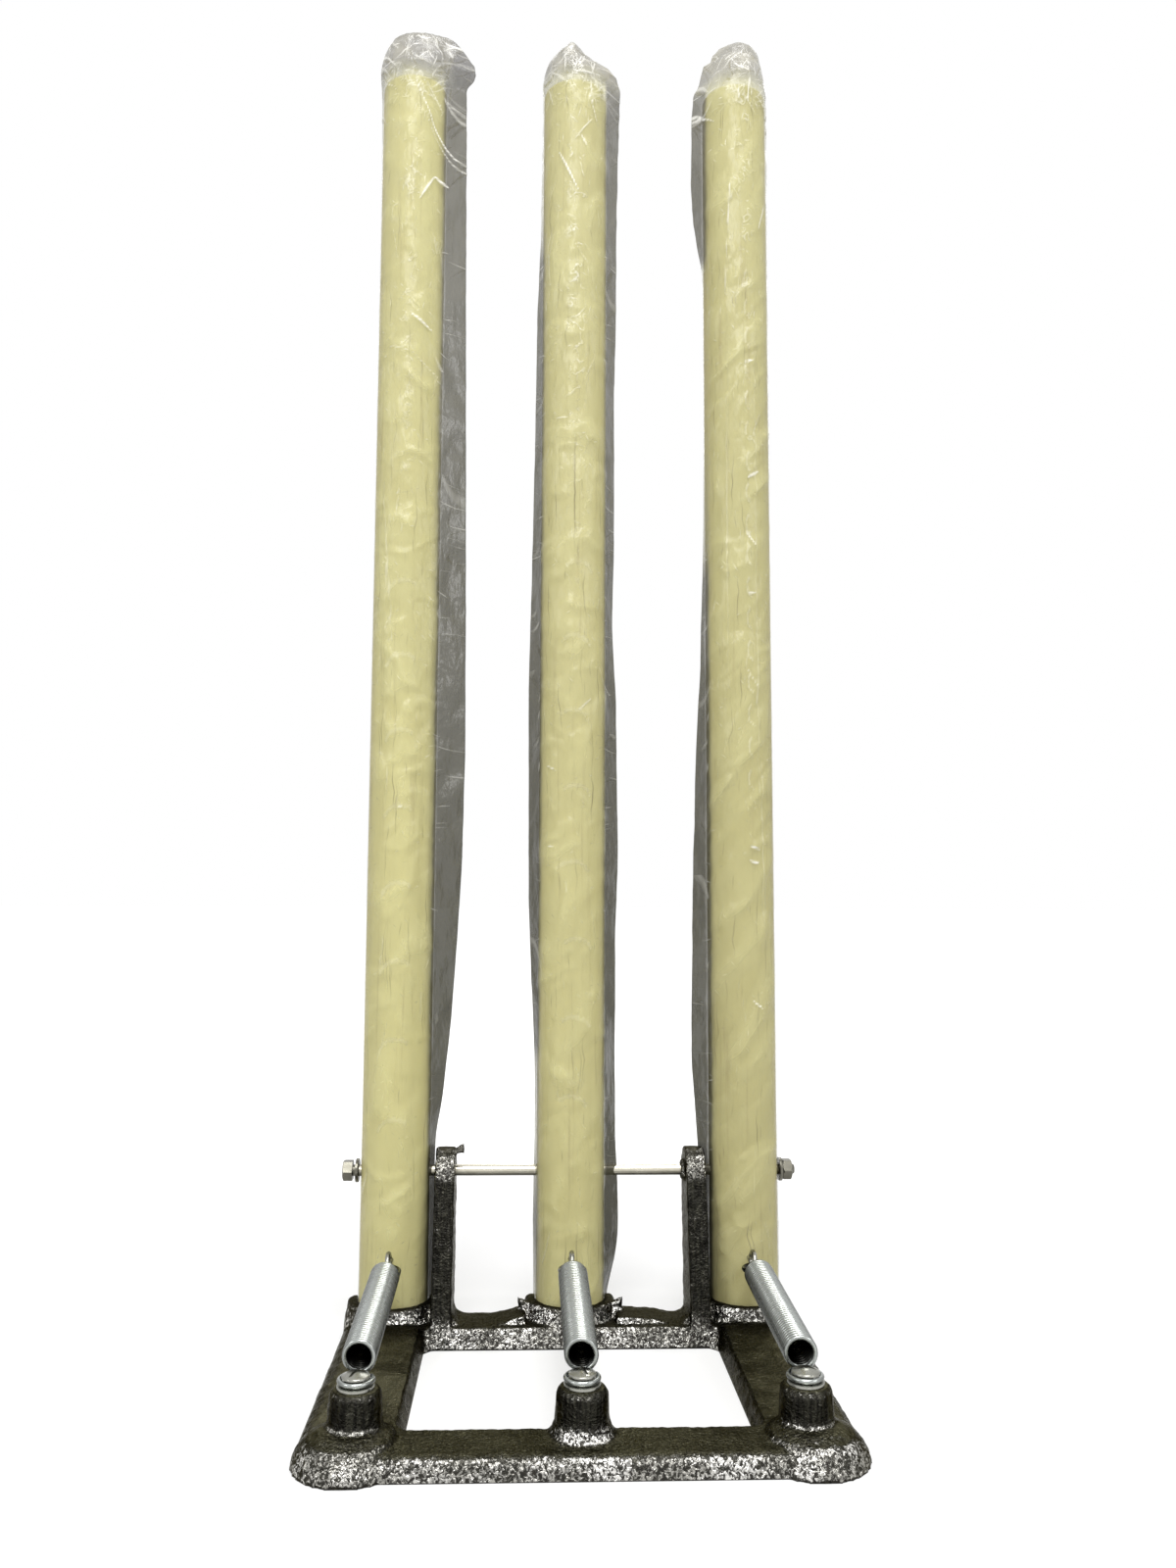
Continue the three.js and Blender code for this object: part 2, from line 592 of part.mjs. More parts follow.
// A stump: a plain turned post, drilled for the bolt and for its screw eye
function stump(x) {
  const r = stumpRadius;
  const profile = [
    [0, STUMP_FOOT],
    [r - STUMP_FOOT_CHAMFER, STUMP_FOOT],
    [r, STUMP_FOOT + STUMP_FOOT_CHAMFER],
    ...arc(r - STUMP_TOP_ROUND, STUMP_TOP - STUMP_TOP_ROUND, STUMP_TOP_ROUND, 0, Math.PI / 2, ROUND_STEPS),
    [0, STUMP_TOP],
  ];
  const eyeHole = bar(
    EYE_WIRE / 2 + RUNNING_GAP,
    at(x, -r - CUT_OVERRUN, EYE_HEIGHT),
    at(x, -r + EYE_SHANK_DEPTH + RUNNING_GAP, EYE_HEIGHT),
    EYE_SIDES,
  );
  return solid(turned(profile, STUMP_SIDES).translate(x, 0, 0))
    .subtract(boltHole(boreRadius, x - STUMP_DIAMETER, x + STUMP_DIAMETER))
    .subtract(eyeHole);
}

// A screw eye: a wire ring that stands upright in front of the stump, on a shank driven into it
function screwEye(x) {
  const ring = new THREE.TorusGeometry(EYE_RADIUS, EYE_WIRE / 2, EYE_SIDES, SMALL_SIDES);
  ring.rotateY(Math.PI / 2).translate(x, -eyeFront, EYE_HEIGHT);
  const shank = bar(
    EYE_WIRE / 2,
    at(x, -eyeFront + EYE_RADIUS, EYE_HEIGHT),
    at(x, -stumpRadius + EYE_SHANK_DEPTH, EYE_HEIGHT),
    EYE_SIDES,
  );
  return solid(ring).add(shank);
}

// One level of a sleeve: a circle drawn out to a flat fold on its left and right, in straight tangents
function filmLevel(x, z, radius, flaps, wide, deep) {
  const round = radius / Math.cos(Math.PI / FILM_SIDES);
  const tangents = flaps.map((flap) => Math.acos(round / (round + flap)));
  return Array.from({ length: FILM_SIDES }, (_, i) => {
    const angle = (2 * Math.PI * i) / FILM_SIDES;
    const fromFolds = [Math.PI - angle, angle].map((turn) => Math.acos(Math.cos(turn)));
    const reach = fromFolds.map((turn, fold) => round / Math.cos(Math.max(tangents[fold] - turn, 0)));
    const distance = Math.max(...reach);
    return at(x + distance * Math.cos(angle) * wide, distance * Math.sin(angle) * deep, z);
  });
}

// The outside or the inside of a sleeve, up to its pinched head
function filmBody(lane, radius, foot, rise) {
  const x = lane.place * STUMP_SPACING;
  const shoulder = STUMP_TOP + FILM_GAP;
  const flapsAt = (i) => [lane.leftFlapShares[i], lane.rightFlapShares[i]].map((share) => share * FILM_FLAP);
  const sides = FILM_LEVEL_SHARES.map((share, i) => {
    const z = i === 0 ? foot : THREE.MathUtils.lerp(FILM_END, shoulder, share);
    return filmLevel(x, z, radius, flapsAt(i), 1, 1);
  });
  const topFlaps = flapsAt(FILM_LEVEL_SHARES.length - 1);
  const head = FILM_HEAD_SHARES.map((share, i) => {
    const [wide, deep] = [FILM_HEAD_WIDTH_SHARES[i], FILM_HEAD_DEPTH_SHARES[i]];
    return filmLevel(x, shoulder + rise * share, radius, topFlaps, wide, deep);
  });
  return solid(skin([...sides, ...head], false));
}

// A film sleeve: closed and pinched over the stump's top, open at the foot, pierced by bolt and eye
function filmSleeve(lane) {
  const x = lane.place * STUMP_SPACING;
  const rise = FILM_RISE * lane.riseShare;
  const outside = filmBody(lane, filmOuterRadius, FILM_END, rise);
  const inside = filmBody(lane, stumpRadius + FILM_GAP, FILM_END - CUT_OVERRUN, rise - FILM_HEAD_WALL);
  const reach = STUMP_SPACING / 2;
  const pivotHole = boltHole(boltRadius + PIERCE_GAP, x - reach, x + reach);
  const eyeHole = bar(EYE_WIRE / 2 + PIERCE_GAP, at(x, -eyeFront, EYE_HEIGHT), at(x, 0, EYE_HEIGHT), EYE_SIDES);
  return outside.subtract(inside).subtract(pivotHole).subtract(eyeHole);
}

// The centre line of one spring: ring round the screw, close coils, hook through the eye
function springPath(place) {
  const onCircle = (angle) => [springRadius * Math.cos(angle), springRadius * Math.sin(angle)];
  const ringSlack = springRadius - SPRING_WIRE / 2 - SCREW_DIAMETER / 2 - HOOK_GAP;
  const ringCentre = at(place * bossSpacing, ringSlack - BOSS_FRONT, ringHeight);
  const start = ringCentre.clone().add(at(0, springRadius, springRadius));
  const hookTipY = -eyeFront - eyeInnerRadius + HOOK_GAP + SPRING_WIRE / 2;
  const axis = at(place * STUMP_SPACING, hookTipY, EYE_HEIGHT).sub(start);
  const hookCentreFar = axis.length() - springRadius;
  axis.normalize();
  const across = new THREE.Vector3().crossVectors(axis, at(0, 0, 1)).normalize();
  const up = new THREE.Vector3().crossVectors(across, axis);
  const fromStart = (far, side, height) =>
    start.clone().addScaledVector(axis, far).addScaledVector(across, side).addScaledVector(up, height);
  const points = [];
  const ringSteps = Math.round((SPRING_RING_SWEEP / (2 * Math.PI)) * HOOK_STEPS);
  for (let i = ringSteps; i > 0; i -= 1) {
    const [x, y] = onCircle(Math.PI / 2 + (SPRING_RING_SWEEP * i) / ringSteps);
    points.push(ringCentre.clone().add(at(x, y, 0)));
  }
  const bodyLength = hookCentreFar - SPRING_HOOK_LEAD;
  const coilSteps = Math.round(SPRING_COILS * COIL_STEPS);
  for (let i = 0; i <= coilSteps; i += 1) {
    const turn = onCircle((2 * Math.PI * i) / COIL_STEPS - Math.PI / 2);
    points.push(fromStart((bodyLength * i) / coilSteps, ...turn));
  }
  const hookSteps = Math.round((SPRING_HOOK_SWEEP / (2 * Math.PI)) * HOOK_STEPS);
  for (let i = 0; i <= hookSteps; i += 1) {
    const [side, far] = onCircle((SPRING_HOOK_SWEEP * i) / hookSteps);
    points.push(fromStart(hookCentreFar + far, side, 0));
  }
  return points;
}

// The least clear distance between stretches of one wire that are more than half a coil apart
function leastSelfGap(points) {
  let least = Infinity;
  for (let i = 0; i < points.length - 1; i += 1) {
    for (let j = i + COIL_STEPS / 2; j < points.length; j += 1) {
      const middle = new THREE.Vector3().addVectors(points[i], points[i + 1]).multiplyScalar(1 / 2);
      least = Math.min(least, points[i].distanceTo(points[j]), middle.distanceTo(points[j]));
    }
  }
  return least - SPRING_WIRE;
}

// A wire of few sides along a path, its section carried on without twist
function wire(points, radius) {
  const normal = at(0, 0, 1);
  const rows = points.map((point, i) => {
    const before = points[Math.max(i - 1, 0)];
    const after = points[Math.min(i + 1, points.length - 1)];
    const tangent = new THREE.Vector3().subVectors(after, before).normalize();
    normal.addScaledVector(tangent, -normal.dot(tangent)).normalize();
    const binormal = new THREE.Vector3().crossVectors(tangent, normal);
    return Array.from({ length: WIRE_SIDES }, (_, k) => {
      const angle = (2 * Math.PI * k) / WIRE_SIDES;
      return point
        .clone()
        .addScaledVector(normal, radius * Math.cos(angle))
        .addScaledVector(binormal, radius * Math.sin(angle));
    });
  });
  return skin(rows, false);
}

const stumps = new THREE.Group();

const frame = new THREE.Group();
frame.add(
  piece("base_casting", baseCasting(), materials.castIron),
  piece("pivot_bolt", pivotBolt(), materials.zinc),
  piece("pivot_nut", pivotNut(), materials.zinc),
  piece("bolt_head_washer", pivotWasher(-1), materials.zinc),
  piece("nut_washer", pivotWasher(1), materials.zinc),
);
stumps.add(frame);

lanes.forEach((lane) => {
  const { side, place } = lane;
  const bossX = place * bossSpacing;
  const stumpX = place * STUMP_SPACING;
  const path = springPath(place);
  console.log(`${side} spring: least gap to itself ${leastSelfGap(path).toFixed(2)} mm`);
  const group = new THREE.Group();
  group.add(
    piece(`${side}_anchor_screw`, anchorScrew(bossX), materials.zinc),
    piece(`${side}_anchor_washer`, anchorWasher(bossX), materials.zinc),
    piece(`${side}_spring`, wire(path, SPRING_WIRE / 2), materials.zinc),
    piece(`${side}_screw_eye`, screwEye(stumpX), materials.zinc),
    piece(`${side}_stump`, stump(stumpX), materials.wood),
    piece(`${side}_film_sleeve`, filmSleeve(lane), materials.film),
  );
  stumps.add(group);
});

// The origin goes to the bottom centre of the whole part
const whole = new THREE.Box3().setFromObject(stumps);
const centre = whole.getCenter(new THREE.Vector3());
stumps.position.set(-centre.x, -centre.y, -whole.min.z);

export default stumps;
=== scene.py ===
# %% [markdown]
# # Spring-back cricket stumps
# Three turned wooden stumps hang on one long bolt over a cast-iron ground frame. A coil spring pulls each
# stump's foot forward, so that a stump that is hit swings back up. The stumps still wear the clear film they
# were packed in. The frame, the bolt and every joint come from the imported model, and this script gives each
# piece its fine shape and its finish, in metres and in the model's own frame.

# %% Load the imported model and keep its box
import math

import bmesh
import bpy
import numpy as np
from mathutils import Matrix, Vector, noise


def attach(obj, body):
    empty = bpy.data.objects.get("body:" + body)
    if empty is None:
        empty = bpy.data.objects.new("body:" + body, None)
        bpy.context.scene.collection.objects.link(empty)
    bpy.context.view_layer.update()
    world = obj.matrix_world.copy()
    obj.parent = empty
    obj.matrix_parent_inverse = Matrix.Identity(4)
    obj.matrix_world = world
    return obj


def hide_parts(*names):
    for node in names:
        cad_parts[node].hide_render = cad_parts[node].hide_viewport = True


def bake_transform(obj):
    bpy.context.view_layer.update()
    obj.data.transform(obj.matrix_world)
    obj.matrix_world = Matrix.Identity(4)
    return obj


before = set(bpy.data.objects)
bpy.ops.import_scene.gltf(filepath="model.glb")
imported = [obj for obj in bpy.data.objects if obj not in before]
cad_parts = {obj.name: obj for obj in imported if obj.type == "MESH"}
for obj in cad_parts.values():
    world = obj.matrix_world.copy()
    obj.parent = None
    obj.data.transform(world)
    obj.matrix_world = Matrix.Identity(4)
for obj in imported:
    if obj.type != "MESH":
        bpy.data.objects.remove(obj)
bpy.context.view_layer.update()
scene = bpy.context.scene

# %% [markdown]
# ## Camera
# The photographer stood close and low and looked up a little, so the posts rise like towers and the frame
# spreads towards the lens. A wide lens near the ground gives that. Its place, turn and small shift were
# solved once from the bolt, the posts and the frame's corners.

# %% Camera
CAMERA_PLACE = (-0.02554, -0.59061, 0.2320)
CAMERA_YAW = -2.1152
CAMERA_PITCH = 5.6115
CAMERA_ROLL = 0.28
CAMERA_LENS = 27.216
CAMERA_SHIFT = (0.0112, -0.00056)
SENSOR_WIDTH = 36


def turn(degrees, axis):
    return Matrix.Rotation(math.radians(degrees), 4, axis)


camera_data = bpy.data.cameras.new("camera")
camera_data.lens = CAMERA_LENS
camera_data.sensor_width = SENSOR_WIDTH
camera_data.shift_x, camera_data.shift_y = CAMERA_SHIFT
camera = bpy.data.objects.new("camera", camera_data)
scene.collection.objects.link(camera)
camera.matrix_world = (
    Matrix.Translation(CAMERA_PLACE)
    @ turn(CAMERA_YAW, "Z")
    @ turn(90 + CAMERA_PITCH, "X")
    @ turn(CAMERA_ROLL, "Z")
)
scene.camera = camera
print("camera at", CAMERA_PLACE)

# %% [markdown]
# ## The sizes that the pieces share
# The same numbers as in the part's source, in millimetres, as on a maker's drawing. They become metres once,
# when a mesh is made.

# %% Sizes
MM = 0.001
AXIS_Y = 77.462
STUMP_RADIUS = 18.5
STUMP_SPACING = 95.3
STUMP_TOP = 711
STUMP_FOOT = 9
PIVOT_HEIGHT = 84.5
BOSS_SPACING = 95.1
BOSS_Y = AXIS_Y - 146
BOSS_HEIGHT = 28.3
EYE_HEIGHT = 42.5
EYE_Y = AXIS_Y - 28.4
LANES = {"left": -1, "middle": 0, "right": 1}
print("lanes", {side: place * STUMP_SPACING for side, place in LANES.items()})

# %% [markdown]
# ## Helpers for meshes
# Turned posts, washers, wires and film are all the same kind of shape: a grid of points, joined row to row.
# One function makes the grid, and the others only say where its points are. A crease angle keeps machined
# edges crisp while round surfaces shade smoothly.

# %% Objects and meshes
def new_object(name, data):
    made = bpy.data.objects.new(name, data)
    scene.collection.objects.link(made)
    return made


def new_mesh(name, points, edges=(), faces=()):
    """A mesh in metres of points in millimetres."""
    mesh = bpy.data.meshes.new(name)
    mesh.from_pydata((np.asarray(points, float) * MM).tolist(), edges, faces)
    return mesh


def smooth_edges(obj, crease):
    obj.data.shade_smooth()
    obj.data.set_sharp_from_angle(angle=math.radians(crease))
    return obj


def mesh_piece(name, shape, shift=(0, 0, 0), matrix=None, crease=40):
    """An object of (points, faces) in millimetres, turned by a 3 by 3 matrix, then shifted. Its faces point
    outwards and shade smoothly up to the crease angle."""
    points, faces = np.asarray(shape[0], float), shape[1]
    if matrix is not None:
        points = points @ np.array(matrix).T
    mesh = new_mesh(name, points + shift, faces=faces)
    work = bmesh.new()
    work.from_mesh(mesh)
    bmesh.ops.recalc_face_normals(work, faces=work.faces)
    work.to_mesh(mesh)
    work.free()
    return smooth_edges(new_object(name, mesh), crease)


# %% Grids of points
def grid_faces(rows, around, ends_meet=False):
    """Quads between rows of points, each row a closed loop."""
    row, step = np.meshgrid(np.arange(rows if ends_meet else rows - 1), np.arange(around), indexing="ij")
    near, far = row * around, ((row + 1) % rows) * around
    after = (step + 1) % around
    return np.stack([near + step, near + after, far + after, far + step], -1).reshape(-1, 4).tolist()


def end_caps(rows, around):
    """A flat face over the first row and one over the last."""
    last = (rows - 1) * around
    return [list(range(around))[::-1], list(range(last, last + around))]


def turned(profile, sides):
    """A profile of (radius, height) turned about Z. A profile that comes back to its start makes a ring."""
    ends_meet = profile[0] == profile[-1]
    profile = np.asarray(profile[:-1] if ends_meet else profile, float)
    angles = np.linspace(0, 2 * math.pi, sides, endpoint=False)
    ring = np.stack([np.cos(angles), np.sin(angles)], -1)
    rows = np.concatenate([profile[:, None, :1] * ring[None], np.repeat(profile[:, None, 1:], sides, 1)], -1)
    faces = grid_faces(len(rows), sides, ends_meet)
    return rows.reshape(-1, 3), faces if ends_meet else faces + end_caps(len(rows), sides)


def solid_mesh(obj, modifiers):
    """The object's mesh with the modifiers applied, each given as (type, settings)."""
    for kind, settings in modifiers:
        modifier = obj.modifiers.new(kind.lower(), kind)
        for key, value in settings.items():
            setattr(modifier, key, value)
    shaped = bpy.data.meshes.new_from_object(obj.evaluated_get(bpy.context.evaluated_depsgraph_get()))
    obj.modifiers.clear()
    obj.data = shaped
    return obj


def finished(obj, body, slot, material, *nodes):
    """Gives a piece its material, lets it ride on its body and stand for its CAD nodes."""
    obj.data.materials.clear()
    obj.data.materials.append(material)
    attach(obj, body)
    if nodes:
        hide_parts(*nodes)
    return obj


# %% [markdown]
# ## Helpers for materials
# What comes out of a node is held as a flow. Flows can be added, taken away and multiplied like numbers, and
# each such step becomes one Math node, so a pattern reads like the sum it is. The other helpers each make one
# kind of node. An effect that several finishes share becomes a node group.

# %% Flows
class Flow:
    """What comes out of a node, ready for sums with numbers and other flows."""

    def __init__(self, socket):
        self.socket, self.tree = socket, socket.id_data

    def __add__(self, other):
        return maths("ADD", self, other)

    def __sub__(self, other):
        return maths("SUBTRACT", self, other)

    def __rsub__(self, other):
        return maths("SUBTRACT", other, self)

    def __mul__(self, other):
        return maths("MULTIPLY", self, other)

    def __truediv__(self, other):
        return maths("DIVIDE", self, other)

    def __abs__(self):
        return maths("ABSOLUTE", self)


def plug(socket, value):
    """Links a flow to an input, or sets the input to a plain value."""
    if isinstance(value, Flow):
        value.tree.links.new(value.socket, socket)
    elif socket.type == "RGBA":
        socket.default_value = (*value, 1)
    else:
        socket.default_value = value


def add_node(tree, kind, inputs=None, **settings):
    made = tree.nodes.new(kind)
    for key, value in settings.items():
        setattr(made, key, value)
    for key, value in (inputs or {}).items():
        plug(made.inputs[key], value)
    return made


def flow(tree, kind, output=0, inputs=None, **settings):
    """One output of a new node."""
    return Flow(add_node(tree, kind, inputs, **settings).outputs[output])


def maths(operation, *values):
    tree = next(value.tree for value in values if isinstance(value, Flow))
    return flow(tree, "ShaderNodeMath", 0, dict(enumerate(values)), operation=operation)


def strongest(*values):
    most = values[0]
    for value in values[1:]:
        most = maths("MAXIMUM", most, value)
    return most


# %% Node helpers
def ramp(factor, low, high, to_low=0.0, to_high=1.0):
    """A clamped straight line from low..high to to_low..to_high."""
    inputs = {"Value": factor, "From Min": low, "From Max": high, "To Min": to_low, "To Max": to_high}
    return flow(factor.tree, "ShaderNodeMapRange", "Result", inputs)


def mix(factor, first, second):
    return flow(factor.tree, "ShaderNodeMix", 2, {0: factor, 6: first, 7: second}, data_type="RGBA")


def coated(colour, *coats):
    """A colour under coats, each given as (how much, its colour)."""
    for amount, tint in coats:
        colour = mix(amount, colour, tint)
    return colour


def noise_value(vector, scale, detail=3.0, roughness=0.5, distortion=0.0):
    inputs = {"Vector": vector, "Scale": scale, "Detail": detail, "Roughness": roughness, "Distortion": distortion}
    return flow(vector.tree, "ShaderNodeTexNoise", "Fac", inputs)


def bumped(height, strength, distance):
    inputs = {"Height": height, "Strength": strength, "Distance": distance}
    return flow(height.tree, "ShaderNodeBump", "Normal", inputs)


def object_coords(tree, scale=(1, 1, 1)):
    return flow(tree, "ShaderNodeMapping", 0, {"Vector": flow(tree, "ShaderNodeTexCoord", "Object"), "Scale": scale})


def parts(vector):
    """The X, Y and Z of a vector."""
    return [Flow(part) for part in add_node(vector.tree, "ShaderNodeSeparateXYZ", {0: vector}).outputs]


def facing(tree):
    """The X, Y and Z of the way that a face looks."""
    return parts(flow(tree, "ShaderNodeNewGeometry", "Normal"))


# %% Helpers for the mesh's own values, for shaders and for groups
def stored(tree, name):
    """A value from 0 to 1 that is stored on the mesh."""
    return flow(tree, "ShaderNodeAttribute", "Fac", attribute_name=name)


def set_shader(shader, **values):
    """Sets or links sockets by name, such as base_color for Base Color."""
    for key, value in values.items():
        plug(shader.inputs[key.replace("_", " ").title().replace("Ior", "IOR")], value)


def new_material(name, **values):
    """A material with one Principled shader, whose even values are set on its own sockets."""
    material = bpy.data.materials.new(name)
    material.use_nodes = True
    shader = material.node_tree.nodes["Principled BSDF"]
    set_shader(shader, **values)
    return material, material.node_tree, shader


def new_group(name, **floats):
    """A group with a Vector, some numbers and a Mask: its tree, the flows of its inputs and the mask's socket."""
    group = bpy.data.node_groups.new(name, "ShaderNodeTree")
    group.interface.new_socket("Vector", in_out="INPUT", socket_type="NodeSocketVector")
    for key, value in floats.items():
        made = group.interface.new_socket(key.capitalize(), in_out="INPUT", socket_type="NodeSocketFloat")
        made.default_value = value
    group.interface.new_socket("Mask", in_out="OUTPUT", socket_type="NodeSocketFloat")
    given = group.nodes.new("NodeGroupInput").outputs[: len(floats) + 1]
    return group, [Flow(socket) for socket in given], group.nodes.new("NodeGroupOutput").inputs["Mask"]


def use_group(group, vector, **values):
    """The mask of a shared effect, with its own values."""
    made = vector.tree.nodes.new("ShaderNodeGroup")
    made.node_tree = group
    plug(made.inputs["Vector"], vector)
    for key, value in values.items():
        plug(made.inputs[key.capitalize()], value)
    return Flow(made.outputs["Mask"])


# %% [markdown]
# ## Shared effects
# Metal, paint and wood all carry blotches: soft patches that are a little duller or darker. Paint and metal
# also gather thin dust on faces that look up. Crinkles in film, painted as white highlights, and dark flecks in
# wood are both short thin strokes: long drawn-out Voronoi cells, thinned out by each cell's random colour. Each
# effect is a node group, built once and placed in the materials with their own sizes and strengths.

# %% Group: blotches
blotches, (vector, size, low, high), mask = new_group("blotches", size=60, low=0.4, high=0.65)
plug(mask, ramp(noise_value(vector, size, detail=4, roughness=0.62), low, high))

# %% Group: settled dust
settled_dust, (vector, amount), mask = new_group("settled_dust", amount=0.3)
upward = ramp(facing(settled_dust)[2], 0.35, 0.95)
grit = ramp(noise_value(vector, 900, detail=2), 0.35, 0.75)
plug(mask, upward * grit * amount)

# %% Group: needles, short straight strokes in one direction
needles, (vector, turned_by, across, along, width, keep), mask = new_group(
    "needles", turn=0.6, across=500, along=40, width=0.2, kept=0.7)
SWAY_SIZE = 60
SWAY_REACH = 0.006


def vector_maths(operation, first, second):
    return flow(first.tree, "ShaderNodeVectorMath", "Vector", {0: first, 1: second}, operation=operation)


sway = flow(needles, "ShaderNodeTexNoise", "Color", {"Vector": vector, "Scale": SWAY_SIZE, "Detail": 1})
sway = vector_maths("SUBTRACT", sway, (0.5, 0.5, 0.5))
sway = flow(needles, "ShaderNodeVectorMath", "Vector", {0: sway, "Scale": SWAY_REACH}, operation="SCALE")
angle = flow(needles, "ShaderNodeCombineXYZ", 0, {"Z": turned_by})
drawn = flow(needles, "ShaderNodeMapping", 0, {"Vector": vector_maths("ADD", vector, sway), "Rotation": angle})
drawn = vector_maths("MULTIPLY", drawn, flow(needles, "ShaderNodeCombineXYZ", 0, {"X": across, "Y": along}))
cells = add_node(needles, "ShaderNodeTexVoronoi", {"Vector": drawn, "Scale": 1}, voronoi_dimensions="2D").outputs
luck = add_node(needles, "ShaderNodeSeparateColor", {0: Flow(cells["Color"])}).outputs
shine = ramp(Flow(luck[0]), keep, keep + 0.02) * ramp(Flow(luck[1]), 0, 1, 0.3, 1)
plug(mask, ramp(Flow(cells["Distance"]), 0, width, 1, 0) * shine)
print("groups", [group.name for group in bpy.data.node_groups])

# %% [markdown]
# ## The cast frame
# The frame is grey iron poured in a sand mould. The sand leaves a pebbled skin and little pointed flash where
# metal crept between the mould halves, and a thick coat of black paint pools over it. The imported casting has
# the exact rails, seats and uprights but machine-clean faces. A copy of it is remeshed to an even net, its
# edges are softened as sand would leave them, and each point is then pushed by a fixed noise. The bored holes,
# the seats' walls and the ground face stay true.

# %% Casting: copy, flash points and an even net
CASTING_NET = 1.0
# Each point of flash: the centre of its base inside the casting, its tip and its radius
FLASH_POINTS = [
    ((-60.5, AXIS_Y - 4, 95), (-57.6, AXIS_Y - 5, 101.3), 3.2),
    ((-70.5, AXIS_Y - 5, 94), (-72.6, AXIS_Y - 7, 98.6), 3),
    ((71, AXIS_Y - 5, 94.5), (72.6, AXIS_Y - 7, 98.8), 2.8),
    ((64.5, AXIS_Y - 5, 94), (63.2, AXIS_Y - 6, 97.8), 2.6),
    ((-25, AXIS_Y - 8, 15.5), (-28.6, AXIS_Y - 9, 21), 3.2),
    ((25, AXIS_Y - 8, 15.5), (28.6, AXIS_Y - 9, 20.6), 3.4),
]
FLASH_SIDES = 8


def spike(base, tip, radius):
    """A small cone of flash."""
    base, tip = Vector(base), Vector(tip)
    axis = (tip - base).normalized()
    side = axis.orthogonal().normalized()
    other = axis.cross(side)
    angles = (2 * math.pi * i / FLASH_SIDES for i in range(FLASH_SIDES))
    ring = [base + (side * math.cos(a) + other * math.sin(a)) * radius for a in angles]
    faces = [[i, (i + 1) % FLASH_SIDES, FLASH_SIDES] for i in range(FLASH_SIDES)] + [list(range(FLASH_SIDES))[::-1]]
    return np.array([*ring, tip]), faces


casting = new_object("cast_frame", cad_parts["base_casting"].data.copy())
work = bmesh.new()
work.from_mesh(casting.data)
bmesh.ops.remove_doubles(work, verts=work.verts, dist=1e-6)
for base, tip, radius in FLASH_POINTS:
    points, faces = spike(base, tip, radius)
    added = [work.verts.new(point * MM) for point in points]
    for face in faces:
        work.faces.new([added[i] for i in face])
work.to_mesh(casting.data)
work.free()
solid_mesh(casting, [
    ("REMESH", {"mode": "VOXEL", "voxel_size": CASTING_NET * MM}),
    ("SMOOTH", {"factor": 0.5, "iterations": 4}),
])
print("casting points", len(casting.data.vertices))

# %% Casting: sand-cast skin
# Each size of pebble, and how far it pushes the skin
PEBBLE_SIZES = [(7.0, 0.24), (3.2, 0.22), (1.9, 0.14)]
# The skin stays true up to the first distance, and is fully rough from the second on
SEAT_CLEAR = (STUMP_RADIUS + 0.8, STUMP_RADIUS + 2.4)
BOSS_CLEAR = (8.2, 10.5)
BOLT_CLEAR = (3.6, 6.5)
GROUND_CLEAR = (0.4, 2.0)


def gathered(collection, key, width=1, kind=float):
    """One value, or a row of that width, from every item of a mesh's collection."""
    values = np.zeros(len(collection) * width, kind)
    collection.foreach_get(key, values)
    return values.reshape(-1, width) if width > 1 else values


def noise_at(points, size, seed):
    """Smooth noise from -1 to 1 at each point, with lumps of about that size."""
    return np.array([noise.noise(Vector(p) / size + Vector((seed, seed, seed))) for p in points.tolist()])


def ease(value, low, high):
    share = np.clip((value - low) / (high - low), 0, 1)
    return share * share * (3 - 2 * share)


skin = gathered(casting.data.vertices, "co", 3) / MM
outward = gathered(casting.data.vertex_normals, "vector", 3)
rough = np.ones(len(skin))
for side, place in LANES.items():
    from_post = np.hypot(skin[:, 0] - place * STUMP_SPACING, np.minimum(skin[:, 1] - AXIS_Y, 0))
    rough *= ease(from_post, *SEAT_CLEAR)
    from_boss = np.hypot(skin[:, 0] - place * BOSS_SPACING, skin[:, 1] - BOSS_Y)
    on_boss_top = (skin[:, 2] > BOSS_HEIGHT - 1.2) | (from_boss < 5)
    rough *= np.where(on_boss_top, ease(from_boss, *BOSS_CLEAR), 1)
from_bolt = np.hypot(skin[:, 1] - AXIS_Y, skin[:, 2] - PIVOT_HEIGHT)
rough *= ease(from_bolt, *BOLT_CLEAR) ** 2
rough *= ease(skin[:, 2], *GROUND_CLEAR)
push = sum(noise_at(skin, size, 11.3 * size) * deep for size, deep in PEBBLE_SIZES)
skin += outward * (push * rough)[:, None]
casting.data.vertices.foreach_set("co", (skin * MM).ravel())
casting.data.update()
smooth_edges(casting, 180)
print("skin pushed by up to", round(float(np.abs(push * rough).max()), 2), "mm")
